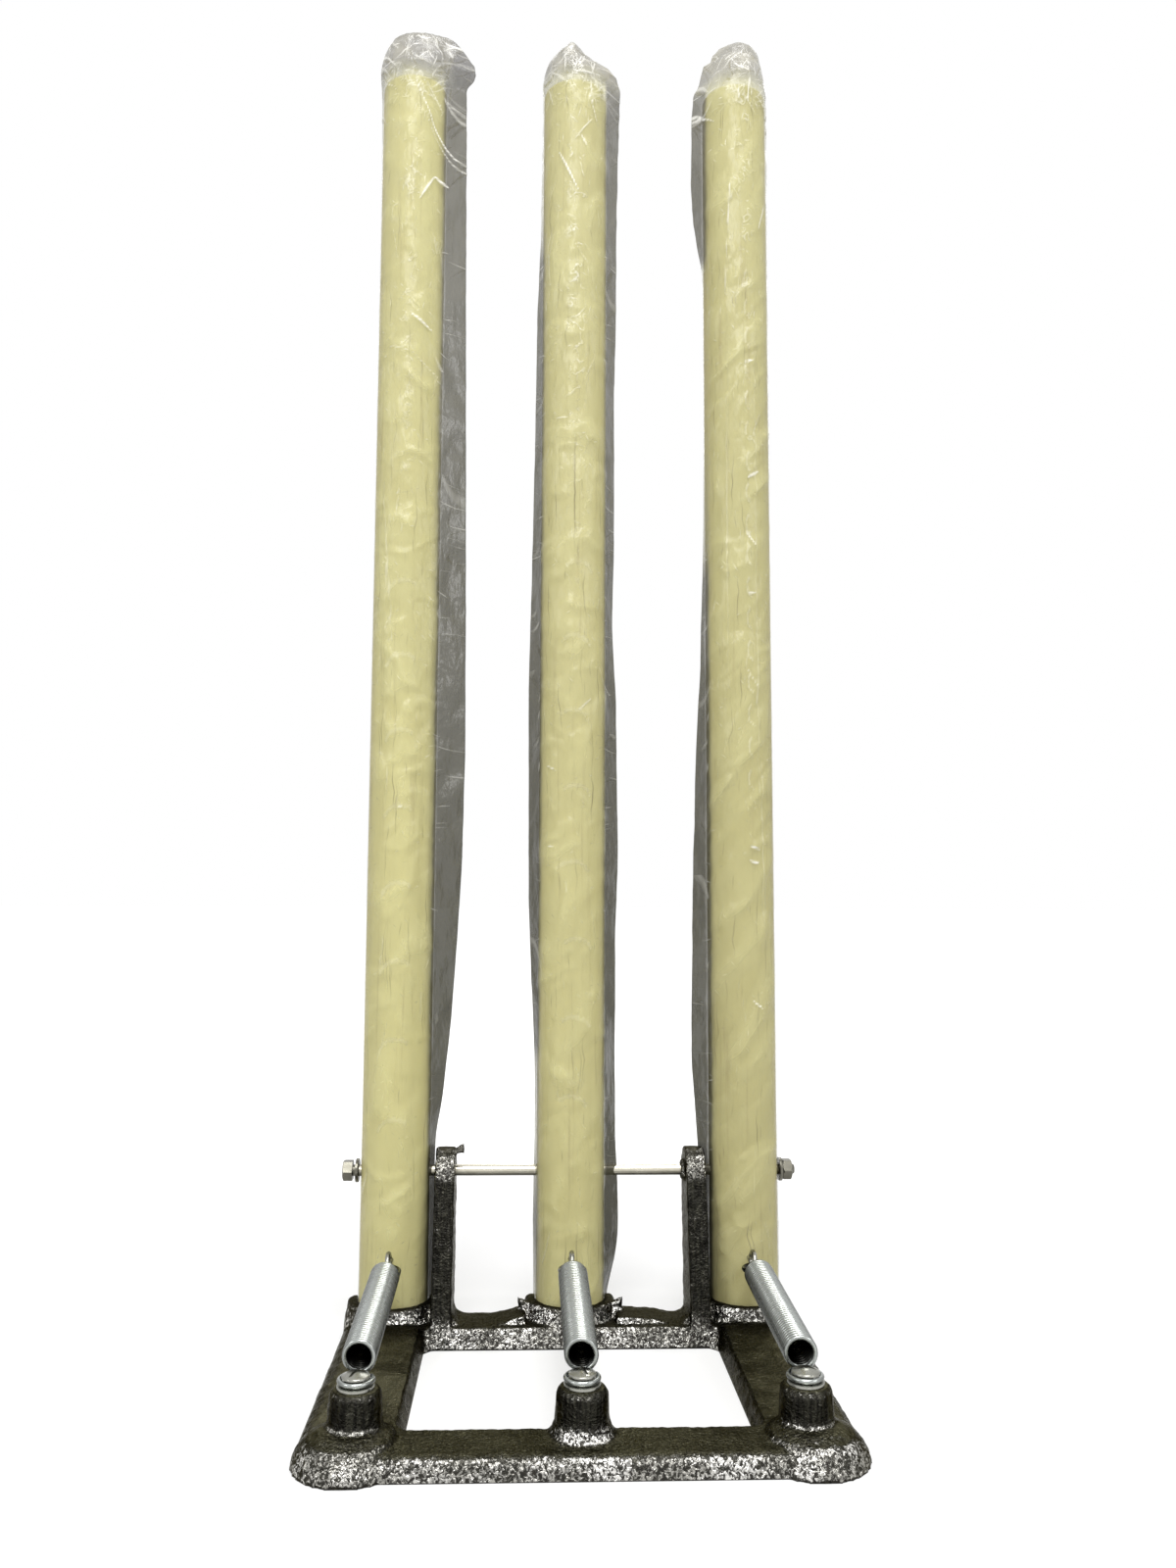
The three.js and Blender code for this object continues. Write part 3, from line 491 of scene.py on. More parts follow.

# %% [markdown]
# ### Cast iron under black paint
# The paint is near black with a brown-olive cast. It ran off the flat tops and pooled, thick and glassy, on
# the slopes and round the bolt, where its small pebbles catch the lamps as hundreds of white sparkles, which are
# also painted into the colour as near-white peaks. Upright faces stay dull and are painted darker than the tops,
# and the tops of the side rails paler still, as painted light from above. So the colour and the gloss follow
# the slope and the place of the face, and the bump carries two sizes of grain. The paint is set as a dark
# metal with a low edge tint, because that keeps it dark at a flat angle of view.

# %% Painted casting: grain and places
cast_paint, tree, shader = new_material("cast_paint", metallic=1, specular_tint=(0.42, 0.41, 0.37))
coords = object_coords(tree)
grain = noise_value(coords, 620, detail=2, roughness=0.55, distortion=1.1)
pits = flow(tree, "ShaderNodeTexVoronoi", "Distance", {"Vector": coords, "Scale": 700})
streaks = noise_value(object_coords(tree, (1, 0.12, 0.12)), 800, detail=3, roughness=0.6)
bump = bumped(grain + pits * 0.35 + streaks * 0.22, 1, 0.0008)
_, facing_back, facing_up = facing(tree)
place_x, place_y, rise = parts(coords)
facing_front = ramp(facing_back, -0.1, -0.45, 0.08, 1)
# The glassy slopes, where the sparkle is painted: faces that lean forwards, less so near the top of the rails,
# and the foot of upright faces
low_down = ramp(rise, 0.011, 0.018, 1, 0) * ramp(facing_up, -0.3, 0.1)
gloss_and_sparkle = strongest(ramp(facing_up, 0.16, 0.42), low_down)
gloss_and_sparkle = gloss_and_sparkle * ramp(facing_up, 0.78, 0.96, 1, 0) * facing_front * ramp(rise, 0.0155, 0.0215, 1, 0.4)
# The heads of the uprights: a glassy band with painted sparkle at the bolt's height, and a greyer tip above it
upright_head = ramp(rise, 0.0795, 0.083) * ramp(rise, 0.093, 0.0955, 1, 0)
gloss_and_sparkle = strongest(gloss_and_sparkle, upright_head * facing_front)
upright_tip = ramp(rise, 0.0945, 0.0965, 0, 0.8) * facing_front
on_top = ramp(facing_up, 0.84, 0.96)
painted_light_rail_tops = ramp(abs(place_x), 0.07, 0.09) * ramp(place_y, -0.085, -0.045)

# %% Painted casting: colour and gloss
patch = use_group(blotches, coords, size=55, low=0.42, high=0.66)
dust = use_group(settled_dust, coords, amount=0.3)
streaked = ramp(streaks, 0.42, 0.66)
colour = mix(streaked, (0.010, 0.0095, 0.008), (0.036, 0.035, 0.027))
# The tops are painted lighter than the upright faces and the side rails' tops paler still: painted light from above
top_colour = coated(
    mix(streaked, (0.036, 0.034, 0.024), (0.070, 0.067, 0.046)),
    (patch * 0.6, (0.090, 0.086, 0.056)),
    (painted_light_rail_tops * ramp(patch, 0, 1, 0.15, 1), (0.19, 0.18, 0.12)),
    (ramp(place_y, 0.028, 0.042), (0.022, 0.021, 0.017)),
)
# Painted sparkle: the peaks of the pebbles are painted near white, nearly all of them on a slope, only a few elsewhere
sparkle_patches = ramp(noise_value(coords, 42, detail=2, roughness=0.6), 0.44, 0.62)
edge = ramp(gloss_and_sparkle, 0, 1, 0.60, 0.40) - sparkle_patches * 0.03
painted_sparkle = ramp(grain - pits * 0.12 - edge, 0, 0.17)
bright = mix(sparkle_patches, (0.42, 0.41, 0.375), (0.82, 0.805, 0.77))
colour = coated(
    colour,
    (on_top, top_colour),
    (upright_tip, (0.13, 0.125, 0.11)),
    (dust, (0.10, 0.095, 0.065)),
    # The slopes are painted lighter and the pebbles' peaks near white: painted sheen and sparkle
    (gloss_and_sparkle * 0.6, (0.050, 0.048, 0.042)),
    (painted_sparkle, mix(gloss_and_sparkle, (0.085, 0.082, 0.07), bright)),
)
dull = patch * 0.5 + (dust + on_top) - gloss_and_sparkle * 0.25
set_shader(shader, base_color=colour, roughness=ramp(dull, -0.25, 1.6, 0.12, 0.38), normal=bump)
finished(casting, "frame_body", "casting", cast_paint, "base_casting")
print(cast_paint.name, "nodes", len(cast_paint.node_tree.nodes))

# %% [markdown]
# ## The wooden stumps
# Each post is turned from one length of pale ash or willow, with a softened rim at the top and a small
# chamfer at the foot. Two holes are drilled, one right through for the bolt and one in front for the screw
# eye. A lathe profile gives the post, extra rings near the holes keep its shading clean, and the drilling is
# a boolean cut, as a drill would leave it.

# %% Stumps
STUMP_SIDES = 128
STUMP_TOP_ROUND = 2.5
STUMP_FOOT_CHAMFER = 1.5
HOLE_RINGS = [36, 49, 76, 93]
BOLT_HOLE_RADIUS = 3.3
PILOT_RADIUS = 1.6
PILOT_START = AXIS_Y - 25
PILOT_LENGTH = 28.8
DRILL_REACH = 30


def round_rim(radius, height, size, steps):
    """The points of a rounded outer rim, from the side up to the flat top."""
    angles = np.linspace(0, math.pi / 2, steps)
    return [(radius - size + size * math.cos(a), height - size + size * math.sin(a)) for a in angles]


# These turn the lathe's Z axis to lie along X or Y
ALONG_X = ((0, 0, 1), (0, 1, 0), (-1, 0, 0))
ALONG_Y = ((1, 0, 0), (0, 0, 1), (0, -1, 0))


def drill(radius, start, length, along, sides=32):
    """A closed cylinder to cut with, from its start along X or Y."""
    return mesh_piece("drill", turned([(radius, 0), (radius, length)], sides), start, along)


def cut(obj, *tools):
    """Cuts the tool objects out of obj and deletes them."""
    for tool in tools:
        solid_mesh(obj, [("BOOLEAN", {"operation": "DIFFERENCE", "solver": "EXACT", "object": tool})])
        bpy.data.objects.remove(tool)
    return obj


def stump(side, x):
    profile = [(STUMP_RADIUS - STUMP_FOOT_CHAMFER, STUMP_FOOT), (STUMP_RADIUS, STUMP_FOOT + STUMP_FOOT_CHAMFER)]
    profile += [(STUMP_RADIUS, height) for height in HOLE_RINGS]
    profile += round_rim(STUMP_RADIUS, STUMP_TOP, STUMP_TOP_ROUND, 7)
    post = mesh_piece(f"{side}_post", turned(profile, STUMP_SIDES), (x, AXIS_Y, 0))
    cut(
        post,
        drill(BOLT_HOLE_RADIUS, (x - DRILL_REACH, AXIS_Y, PIVOT_HEIGHT), 2 * DRILL_REACH, ALONG_X),
        drill(PILOT_RADIUS, (x, PILOT_START, EYE_HEIGHT), PILOT_LENGTH, ALONG_Y, 20),
    )
    return smooth_edges(post, 30)


posts = {side: stump(side, place * STUMP_SPACING) for side, place in LANES.items()}
print("post faces", len(posts["left"].data.polygons))

# %% [markdown]
# ### Pale varnished wood
# Seen through the film the wood is an even cream yellow, a little greener and darker towards the foot, and
# the right post is darker than the others. It has faint long grain lines and dark flecks, its sides are painted
# browner and darker as shade, and a fine check runs down the middle post. Grain follows the tree, so the pattern
# is noise drawn out many times along the post, in two widths, and each line only shifts the colour slightly.

# %% Material: stump wood
WOOD_TONES = [
    ((0.80, 0.745, 0.35), (0.66, 0.62, 0.32)),
    ((0.76, 0.70, 0.335), (0.60, 0.56, 0.30)),
    ((0.57, 0.515, 0.235), (0.57, 0.53, 0.265)),
]
CHECK_HEIGHT = 0.462
wood, tree, shader = new_material("pale_wood", ior=1.4)
grain_coords = object_coords(tree, (1, 1, 0.035))
streaks = noise_value(grain_coords, 330, detail=4, roughness=0.6, distortion=0.3)
bands = noise_value(grain_coords, 75, detail=3, roughness=0.5, distortion=0.6)
coords = object_coords(tree)
across, depth, rise = parts(coords)
patch = use_group(blotches, coords, size=16, low=0.4, high=0.7)
# Each post's tone at the foot and higher up
tones = [mix(ramp(rise, 0.03, 0.6), low, high) for low, high in WOOD_TONES]
# The angle round each post, as a length on its surface, carries the flecks without smearing them
spacing = STUMP_SPACING * MM
post_at = maths("ROUND", across / spacing)
around = maths("ARCTAN2", across - post_at * spacing, AXIS_Y * MM - depth) * (STUMP_RADIUS * MM)
surface = flow(tree, "ShaderNodeCombineXYZ", 0, {"X": around + post_at * 0.3, "Y": rise})
long_flecks = use_group(needles, surface, turn=0, across=620, along=17, width=0.3, kept=0.88)
short_flecks = use_group(needles, surface, turn=0.01, across=700, along=60, width=0.3, kept=0.9)
wander = ramp(noise_value(object_coords(tree, (0, 0, 1)), 48, detail=2), 0.2, 0.8, -0.0018, 0.0020)
check = ramp(abs(across - wander), 0, 0.0007, 1, 0) * ramp(abs(rise - CHECK_HEIGHT), 0.012, 0.038, 1, 0)
flecks = strongest(long_flecks, short_flecks * 0.7, check)
colour = coated(
    tones[0],
    (ramp(across, -0.06, -0.04), tones[1]),
    (ramp(across, 0.04, 0.06), tones[2]),
    (ramp(bands, 0.35, 0.7, 0, 0.35), (0.50, 0.45, 0.20)),
    (ramp(streaks, 0.58, 0.74) * 0.5, (0.36, 0.28, 0.13)),
    (patch * 0.25, (0.68, 0.66, 0.38)),
    (flecks * 0.9, (0.10, 0.065, 0.025)),
    # Painted shade: faces that turn to the left or right are painted browner and darker
    (ramp(abs(facing(tree)[0]), 0.75, 1, 0, 0.55), (0.46, 0.39, 0.20)),
)
rough = ramp(streaks, 0.3, 0.7, 0.5, 0.66)
set_shader(shader, base_color=colour, roughness=rough, normal=bumped(streaks, 0.35, 0.0003))
for side, post in posts.items():
    finished(post, f"{side}_stump_body", "stump_wood", wood, f"{side}_stump")
print(wood.name, "nodes", len(wood.node_tree.nodes))

# %% [markdown]
# ## Bright zinc
# The springs, screws, washers and the bolt are steel with a thin zinc plating. It is a pale, slightly blue
# metal with soft cloudy patches, fine drawing marks and dull spots where it was handled. Painted shade darkens
# it below and at the bolt's ends, at the sides and inside the coils. One function makes it, and the spring, the
# screws and the bolt each get their own tint, shine and direction of the marks.

# %% Material: zinc plating
# The bolt's head and nut lie past this distance from the middle
BOLT_ENDS = 0.1145


def zinc(name, tint, dull, marks_scale, marks_dark, low_rough, high_rough, painted_dark_sides=0, dusty=0.1, shade_below_and_at_ends=0):
    """Plated steel: two tints, stretch and depth of its marks, range of roughness, and how dark its sides are
    painted as shade, how dusty, and how dark it is painted as shade below and at the ends of the bolt."""
    material, tree, shader = new_material(name, metallic=1)
    coords = object_coords(tree)
    marks = noise_value(object_coords(tree, marks_scale), 900, detail=3, roughness=0.6)
    patch = use_group(blotches, coords, size=110, low=0.4, high=0.75)
    sideways, _, facing_up = facing(tree)
    from_middle = abs(parts(coords)[0])
    painted_shade = strongest(ramp(facing_up, 0.1, -0.6), ramp(from_middle, BOLT_ENDS, BOLT_ENDS + 0.0005))
    colour = coated(
        mix(patch * 0.7, tint, dull),
        # Painted shade below and at the bolt's ends
        (painted_shade * shade_below_and_at_ends, (0.07, 0.068, 0.056)),
        # Painted shade on faces that turn to the left or right
        (ramp(abs(sideways), 0.3, 0.85, 0, painted_dark_sides), (0.06, 0.062, 0.056)),
        (use_group(settled_dust, coords, amount=dusty), (0.30, 0.29, 0.25)),
        # Painted shade inside the coils, from the stored inner mark
        (stored(tree, "inner"), (0.02, 0.02, 0.018)),
        (ramp(marks, 0.55, 0.8, 0, marks_dark), [part * 0.5 for part in dull]),
    )
    rough = ramp((marks + patch) * 0.5, 0.2, 0.8, low_rough, high_rough)
    set_shader(shader, base_color=colour, roughness=rough, normal=bumped(marks, 0.2, 0.00003))
    return material


EVEN = (1, 1, 1)
spring_zinc = zinc("spring_zinc", (0.39, 0.41, 0.395), (0.31, 0.325, 0.31), EVEN, 0.1, 0.22, 0.34, 0.8, dusty=0)
screw_zinc = zinc("screw_zinc", (0.35, 0.35, 0.315), (0.21, 0.21, 0.18), EVEN, 0.4, 0.2, 0.42, 0.3)
bolt_zinc = zinc("bolt_zinc", (0.62, 0.59, 0.49), (0.42, 0.39, 0.30), (0.1, 1, 1), 0.3, 0.26, 0.46, shade_below_and_at_ends=0.85)
print("metals", [m.name for m in (spring_zinc, screw_zinc, bolt_zinc)])

# %% [markdown]
# ## The springs
# Each spring is one length of wire: a flat ring that lies under the anchor screw's head, about forty-five
# close coils, and a hook through the screw eye. The path of the wire is worked out point by point, because
# the ring, the coils and the hook have to flow into each other, and Geometry Nodes then give the path its
# round section. The spring stretches when its stump swings.

# %% Wire along a path, with Geometry Nodes
def wire_tree():
    """Geometry Nodes that turn a path into wire, with the wire's radius, sides and material as inputs."""
    tree = bpy.data.node_groups.new("wire_along_path", "GeometryNodeTree")
    sockets = {}
    for name, kind in (("Geometry", "Geometry"), ("Wire radius", "Float"), ("Sides", "Int"), ("Material", "Material")):
        made = tree.interface.new_socket(name, in_out="INPUT", socket_type=f"NodeSocket{kind}")
        sockets[name] = made.identifier
    tree.interface.new_socket("Geometry", in_out="OUTPUT", socket_type="NodeSocketGeometry")
    path, radius, sides, material = (Flow(socket) for socket in tree.nodes.new("NodeGroupInput").outputs[:4])
    path = flow(tree, "GeometryNodeMeshToCurve", "Curve", {"Mesh": path})
    section = flow(tree, "GeometryNodeCurvePrimitiveCircle", "Curve", {"Resolution": sides, "Radius": radius})
    skin = {"Curve": path, "Profile Curve": section, "Fill Caps": True}
    skin = flow(tree, "GeometryNodeCurveToMesh", "Mesh", skin)
    skin = flow(tree, "GeometryNodeRealizeInstances", "Geometry", {"Geometry": skin})
    skin = flow(tree, "GeometryNodeSetMaterial", "Geometry", {"Geometry": skin, "Material": material})
    plug(tree.nodes.new("NodeGroupOutput").inputs["Geometry"], skin)
    return tree, sockets


WIRE_TREE, WIRE_SOCKETS = wire_tree()


def wire(name, path, radius, sides, material):
    """A plain mesh of round wire along a path of points in millimetres."""
    made = new_object(name, new_mesh(name, path, [(i, i + 1) for i in range(len(path) - 1)]))
    modifier = made.modifiers.new("wire", "NODES")
    modifier.node_group = WIRE_TREE
    modifier[WIRE_SOCKETS["Wire radius"]] = radius * MM
    modifier[WIRE_SOCKETS["Sides"]] = sides
    modifier[WIRE_SOCKETS["Material"]] = material
    solid_mesh(made, [])
    return smooth_edges(made, 60)


# %% Springs
SPRING_WIRE = 2.2
SPRING_RADIUS = 6.4
SPRING_COILS = 44.25
COIL_STEPS = 32
RING_HEIGHT = 30.8
RING_Y = AXIS_Y - 144.2
RING_RADIUS = 7.0
RING_SWEEP = math.radians(300)
HOOK_SWEEP = math.radians(195)
HOOK_LEAD = 6.2
HOOK_TIP_Y = AXIS_Y - 30.4


def spring_path(place):
    """The wire's centre line: ring round the screw, close coils, hook through the eye."""
    ring_centre = np.array([place * BOSS_SPACING, RING_Y, RING_HEIGHT])
    first = ring_centre + (0, SPRING_RADIUS, SPRING_RADIUS)
    axis = np.array([place * STUMP_SPACING, HOOK_TIP_Y, EYE_HEIGHT]) - first
    hook_far = np.linalg.norm(axis) - SPRING_RADIUS
    axis /= np.linalg.norm(axis)
    across = np.cross(axis, (0, 0, 1))
    across /= np.linalg.norm(across)
    up = np.cross(across, axis)
    points = []
    for angle in math.pi / 2 + np.linspace(RING_SWEEP, 0, 28, endpoint=False):
        x, y = RING_RADIUS * np.cos(angle), RING_RADIUS * np.sin(angle)
        points.append(ring_centre + (x, y + SPRING_RADIUS - RING_RADIUS, 0))
    length = hook_far - HOOK_LEAD
    steps = round(SPRING_COILS * COIL_STEPS)
    for i in range(steps + 1):
        angle = 2 * math.pi * i / COIL_STEPS - math.pi / 2
        side, height = SPRING_RADIUS * math.cos(angle), SPRING_RADIUS * math.sin(angle)
        points.append(first + axis * (length * i / steps) + across * side + up * height)
    for angle in np.linspace(0, HOOK_SWEEP, 24):
        side, far = SPRING_RADIUS * math.cos(angle), SPRING_RADIUS * math.sin(angle)
        points.append(first + axis * (hook_far + far) + across * side)
    return np.array(points), first, first + axis * hook_far


def mark(mesh, name, values):
    """Stores a value on each point, for the material."""
    layer = mesh.attributes.new(name, "FLOAT", "POINT")
    layer.data.foreach_set("value", np.ascontiguousarray(values, np.float32).ravel())


def mark_coil_shade(spring, near, far):
    """Marks the inside and the grooves of the coils, for painted shade there, from 0 to 1."""
    points = gathered(spring.data.vertices, "co", 3) / MM
    axis = (far - near) / np.linalg.norm(far - near)
    along = (points - near) @ axis
    from_axis = np.linalg.norm(points - near - along[:, None] * axis, axis=1)
    coil_shade = ease(from_axis, SPRING_RADIUS + 0.75, SPRING_RADIUS - 0.25) * ease(along, -0.5, 2.5)
    mark(spring.data, "inner", coil_shade)


for side, place in LANES.items():
    path, near, far = spring_path(place)
    spring = wire(f"{side}_coil_spring", path, SPRING_WIRE / 2, 12, spring_zinc)
    mark_coil_shade(spring, near, far)
    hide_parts(f"{side}_spring")
    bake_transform(spring)
    print(spring.name, "pitch", round(float(np.linalg.norm(far - near)) / SPRING_COILS, 2), "mm")

# %% [markdown]
# ## Anchor screws and washers
# A slotted screw with a low cone of a head holds each spring's ring down on its boss, over a plain washer.
# Both are turned pieces: the head gets a rolled edge, the slot is sawn with a boolean cut, and the washer
# has the slightly rounded upper edge and sharp lower edge of a stamping.

# %% Anchor screws and washers
SCREW_HEAD_SEAT = 32.2
SCREW_HEAD_RADIUS = 6.0
SCREW_CROWN = 2.6
SCREW_SHANK_RADIUS = 3.0
SCREW_LENGTH = 20
SLOT_WIDTH = 1.3
SLOT_DEPTH = 1.1
SLOT_REACH = 8
WASHER_BORE = 3.3
WASHER_RADIUS = 7.9
WASHER_THICKNESS = 1.1
CONE_SHARES = [(1, 0.08), (1, 0.26), (0.975, 0.36), (0.9, 0.45), (0.6, 0.78), (0.35, 0.94), (0.15, 0.99)]


def box_tool(low, high):
    corners = [(x, y, z) for x in (low[0], high[0]) for y in (low[1], high[1]) for z in (low[2], high[2])]
    faces = [[0, 1, 3, 2], [4, 6, 7, 5], [0, 4, 5, 1], [2, 3, 7, 6], [0, 2, 6, 4], [1, 5, 7, 3]]
    return mesh_piece("saw", (corners, faces))


def thread(radius, depth, pitch, start, stop):
    """A shank whose radius swells and shrinks once a pitch, along its axis, as rolled thread does."""
    quarters = range(int((stop - start) / pitch) * 4 + 1)
    return [(radius - depth * (0, 0.5, 1, 0.5)[i % 4], start + pitch * i / 4) for i in quarters]


def anchor_screw(side, place):
    x = place * BOSS_SPACING
    profile = [(SCREW_SHANK_RADIUS - 0.6, BOSS_HEIGHT - SCREW_LENGTH)]
    profile += thread(SCREW_SHANK_RADIUS, 0.45, 1.0, BOSS_HEIGHT - SCREW_LENGTH + 1, BOSS_HEIGHT - 3)
    profile += [(SCREW_SHANK_RADIUS, SCREW_HEAD_SEAT), (SCREW_HEAD_RADIUS - 0.3, SCREW_HEAD_SEAT)]
    profile += [(SCREW_HEAD_RADIUS * wide, SCREW_HEAD_SEAT + SCREW_CROWN * high) for wide, high in CONE_SHARES]
    screw = mesh_piece(f"{side}_slotted_screw", turned(profile, 48), (x, BOSS_Y, 0))
    crown = SCREW_HEAD_SEAT + SCREW_CROWN
    saw = box_tool((-SLOT_WIDTH / 2, -SLOT_REACH, crown - SLOT_DEPTH), (SLOT_WIDTH / 2, SLOT_REACH, crown + 2))
    saw.data.transform(turn(25 + 50 * place, "Z"))
    saw.data.transform(Matrix.Translation(Vector((x, BOSS_Y, 0)) * MM))
    return smooth_edges(cut(screw, saw), 35)


def flat_washer(inner, outer, thickness, edge=0.25):
    """A stamped washer about Z from its lower face, closed round its section."""
    return turned([
        (inner, 0), (outer, 0), (outer, thickness - edge), (outer - edge * 0.3, thickness - edge * 0.3),
        (outer - edge, thickness), (inner + edge, thickness), (inner, thickness - edge), (inner, 0),
    ], 56)


for side, place in LANES.items():
    finished(anchor_screw(side, place), "frame_body", "screw_steel", screw_zinc, f"{side}_anchor_screw")
    ring = flat_washer(WASHER_BORE, WASHER_RADIUS, WASHER_THICKNESS)
    washer = mesh_piece(f"{side}_plain_washer", ring, (place * BOSS_SPACING, BOSS_Y, BOSS_HEIGHT), crease=35)
    finished(washer, "frame_body", "screw_steel", screw_zinc, f"{side}_anchor_washer")
print("washer top", BOSS_HEIGHT + WASHER_THICKNESS)

# %% [markdown]
# ## Screw eyes
# The hook of each spring pulls on a wire eye that is screwed into the post. The eye is one wire: a ring that
# is bent almost closed, a short neck, and a shank with a coarse wood thread that tapers to a point inside
# the post. The ring and neck are wire along a path, and the shank is turned.

# %% Screw eyes
EYE_WIRE = 2.6
EYE_RADIUS = 5.7
EYE_OPENING = math.radians(24)
EYE_DEPTH = 22
NECK_Y = EYE_Y + EYE_RADIUS


def screw_eye(side, x):
    angles = np.linspace(EYE_OPENING, 2 * math.pi - 0.12, 56)
    path = [(x, EYE_Y + EYE_RADIUS * math.cos(a), EYE_HEIGHT + EYE_RADIUS * math.sin(a)) for a in angles]
    path += [(x, NECK_Y + 0.5, EYE_HEIGHT - 0.15)] + [(x, NECK_Y + 1.4 + i, EYE_HEIGHT) for i in range(6)]
    eye = wire(f"{side}_eye", path, EYE_WIRE / 2, 16, screw_zinc)
    shank_start = NECK_Y + 4
    length = AXIS_Y - STUMP_RADIUS + EYE_DEPTH - shank_start
    profile = [(EYE_WIRE / 2, 0)] + thread(EYE_WIRE / 2, 0.38, 1.4, 6.0, length - 3.5) + [(0.2, length)]
    shank = mesh_piece(f"{side}_eye_shank", turned(profile, 24), (x, shank_start, EYE_HEIGHT), ALONG_Y)
    return eye, smooth_edges(shank, 50)


for side, place in LANES.items():
    eye, shank = screw_eye(side, place * STUMP_SPACING)
    finished(eye, f"{side}_stump_body", "screw_steel", screw_zinc, f"{side}_screw_eye")
    finished(shank, f"{side}_stump_body", "screw_steel", screw_zinc)
print("eye at", EYE_Y, EYE_HEIGHT)

# %% [markdown]
# ## The pivot bolt
# One long six-millimetre bolt carries all three posts. Its hexagon head and its nut have corners turned off
# at thirty degrees, and the last stretch before the nut is threaded. The hexagon is a lathe form whose
# radius follows the flats, cut down by the cone of the chamfer, which gives the curved arcs on each flat.

# %% Pivot bolt, nut and washers
BOLT_RADIUS = 3.0
BOLT_END = 123.7
HEAD_THICKNESS = 5.2
HEX_ACROSS = 10.0
HEX_SIDES = 72
HEX_CHAMFER = math.radians(30)
NUT_START = 117.0
NUT_THICKNESS = 5.0
THREAD_START = 92.0
WASHER_START, BOLT_WASHER_THICKNESS, BOLT_WASHER_RADIUS = 115.2, 1.5, 6.25
BOLT_CENTRE = (0, AXIS_Y, PIVOT_HEIGHT)


def joined(one, other):
    """Two (points, faces) shapes as one."""
    first = len(one[0])
    return np.concatenate([one[0], other[0]]), one[1] + [[first + i for i in face] for face in other[1]]


def hexagon(start, stop, both_turned):
    """A hexagon bar about Z, with one or both ends turned off: no row's radius passes the chamfer."""
    corner, face = HEX_ACROSS / 2 / math.cos(math.pi / 6), HEX_ACROSS / 2 - 0.15
    drop = (corner - face) * math.tan(HEX_CHAMFER)
    shares = np.linspace(0, 1, 7)
    stations = [(start + drop * s, face + (corner - face) * s) for s in shares] if both_turned else [(start, corner)]
    stations += [(stop - drop * s, face + (corner - face) * s) for s in shares[::-1]]
    angles = np.linspace(0, 2 * math.pi, HEX_SIDES, endpoint=False)
    flats = HEX_ACROSS / 2 / np.cos((angles + math.pi / 6) % (math.pi / 3) - math.pi / 6)
    points = [(min(flat, limit) * math.cos(a), min(flat, limit) * math.sin(a), height)
              for height, limit in stations for a, flat in zip(angles, flats)]
    return np.array(points), grid_faces(len(stations), HEX_SIDES) + end_caps(len(stations), HEX_SIDES)


profile = [(BOLT_RADIUS, -BOLT_END + HEAD_THICKNESS - 1), (BOLT_RADIUS, THREAD_START)]
profile += thread(BOLT_RADIUS, 0.35, 1.0, THREAD_START + 0.5, BOLT_END - 1.2)
profile += [(BOLT_RADIUS - 0.8, BOLT_END)]
head_points, head_faces = hexagon(BOLT_END - HEAD_THICKNESS, BOLT_END, False)
head = head_points * (1, 1, -1), head_faces
bolt = mesh_piece("bolt_with_head", joined(turned(profile, 48), head), BOLT_CENTRE, ALONG_X, crease=28)
finished(bolt, "frame_body", "bolt_steel", bolt_zinc, "pivot_bolt")

nut = mesh_piece("hexagon_nut", hexagon(NUT_START, NUT_START + NUT_THICKNESS, True), BOLT_CENTRE, ALONG_X)
cut(nut, drill(BOLT_HOLE_RADIUS, (NUT_START - 2, AXIS_Y, PIVOT_HEIGHT), 12, ALONG_X, 40))
finished(smooth_edges(nut, 28), "frame_body", "bolt_steel", bolt_zinc, "pivot_nut")

for name, node, x in (("washer_at_head", "bolt_head_washer", -WASHER_START - BOLT_WASHER_THICKNESS),
                      ("washer_at_nut", "nut_washer", WASHER_START)):
    ring = flat_washer(BOLT_HOLE_RADIUS, BOLT_WASHER_RADIUS, BOLT_WASHER_THICKNESS)
    ring = mesh_piece(name, ring, (x, AXIS_Y, PIVOT_HEIGHT), ALONG_X, crease=35)
    finished(ring, "frame_body", "bolt_steel", bolt_zinc, node)
print("bolt from", -BOLT_END, "to", BOLT_END)

# %% [markdown]
# ## The clear film sleeves
# Each post is packed in a tube of clear film that is wider than the post, so the spare width stands out
# beside it as a flat double fold, grey in the air and nearly invisible on the wood. Over the top the closed
# end is crushed into a white crackled cap. The sleeve is one skin of closed loops, each a circle drawn out
# into its two folds. It is waved, creased and crumpled in code, because a simulation would not give the folds
# that the photograph shows.

# %% Film: the outlines of the three sleeves
FILM_RADIUS = 18.7
FILM_FOOT = 16.0
FILM_AROUND = 168
FILM_LEVELS = 500
HEAD_LEVELS = 50
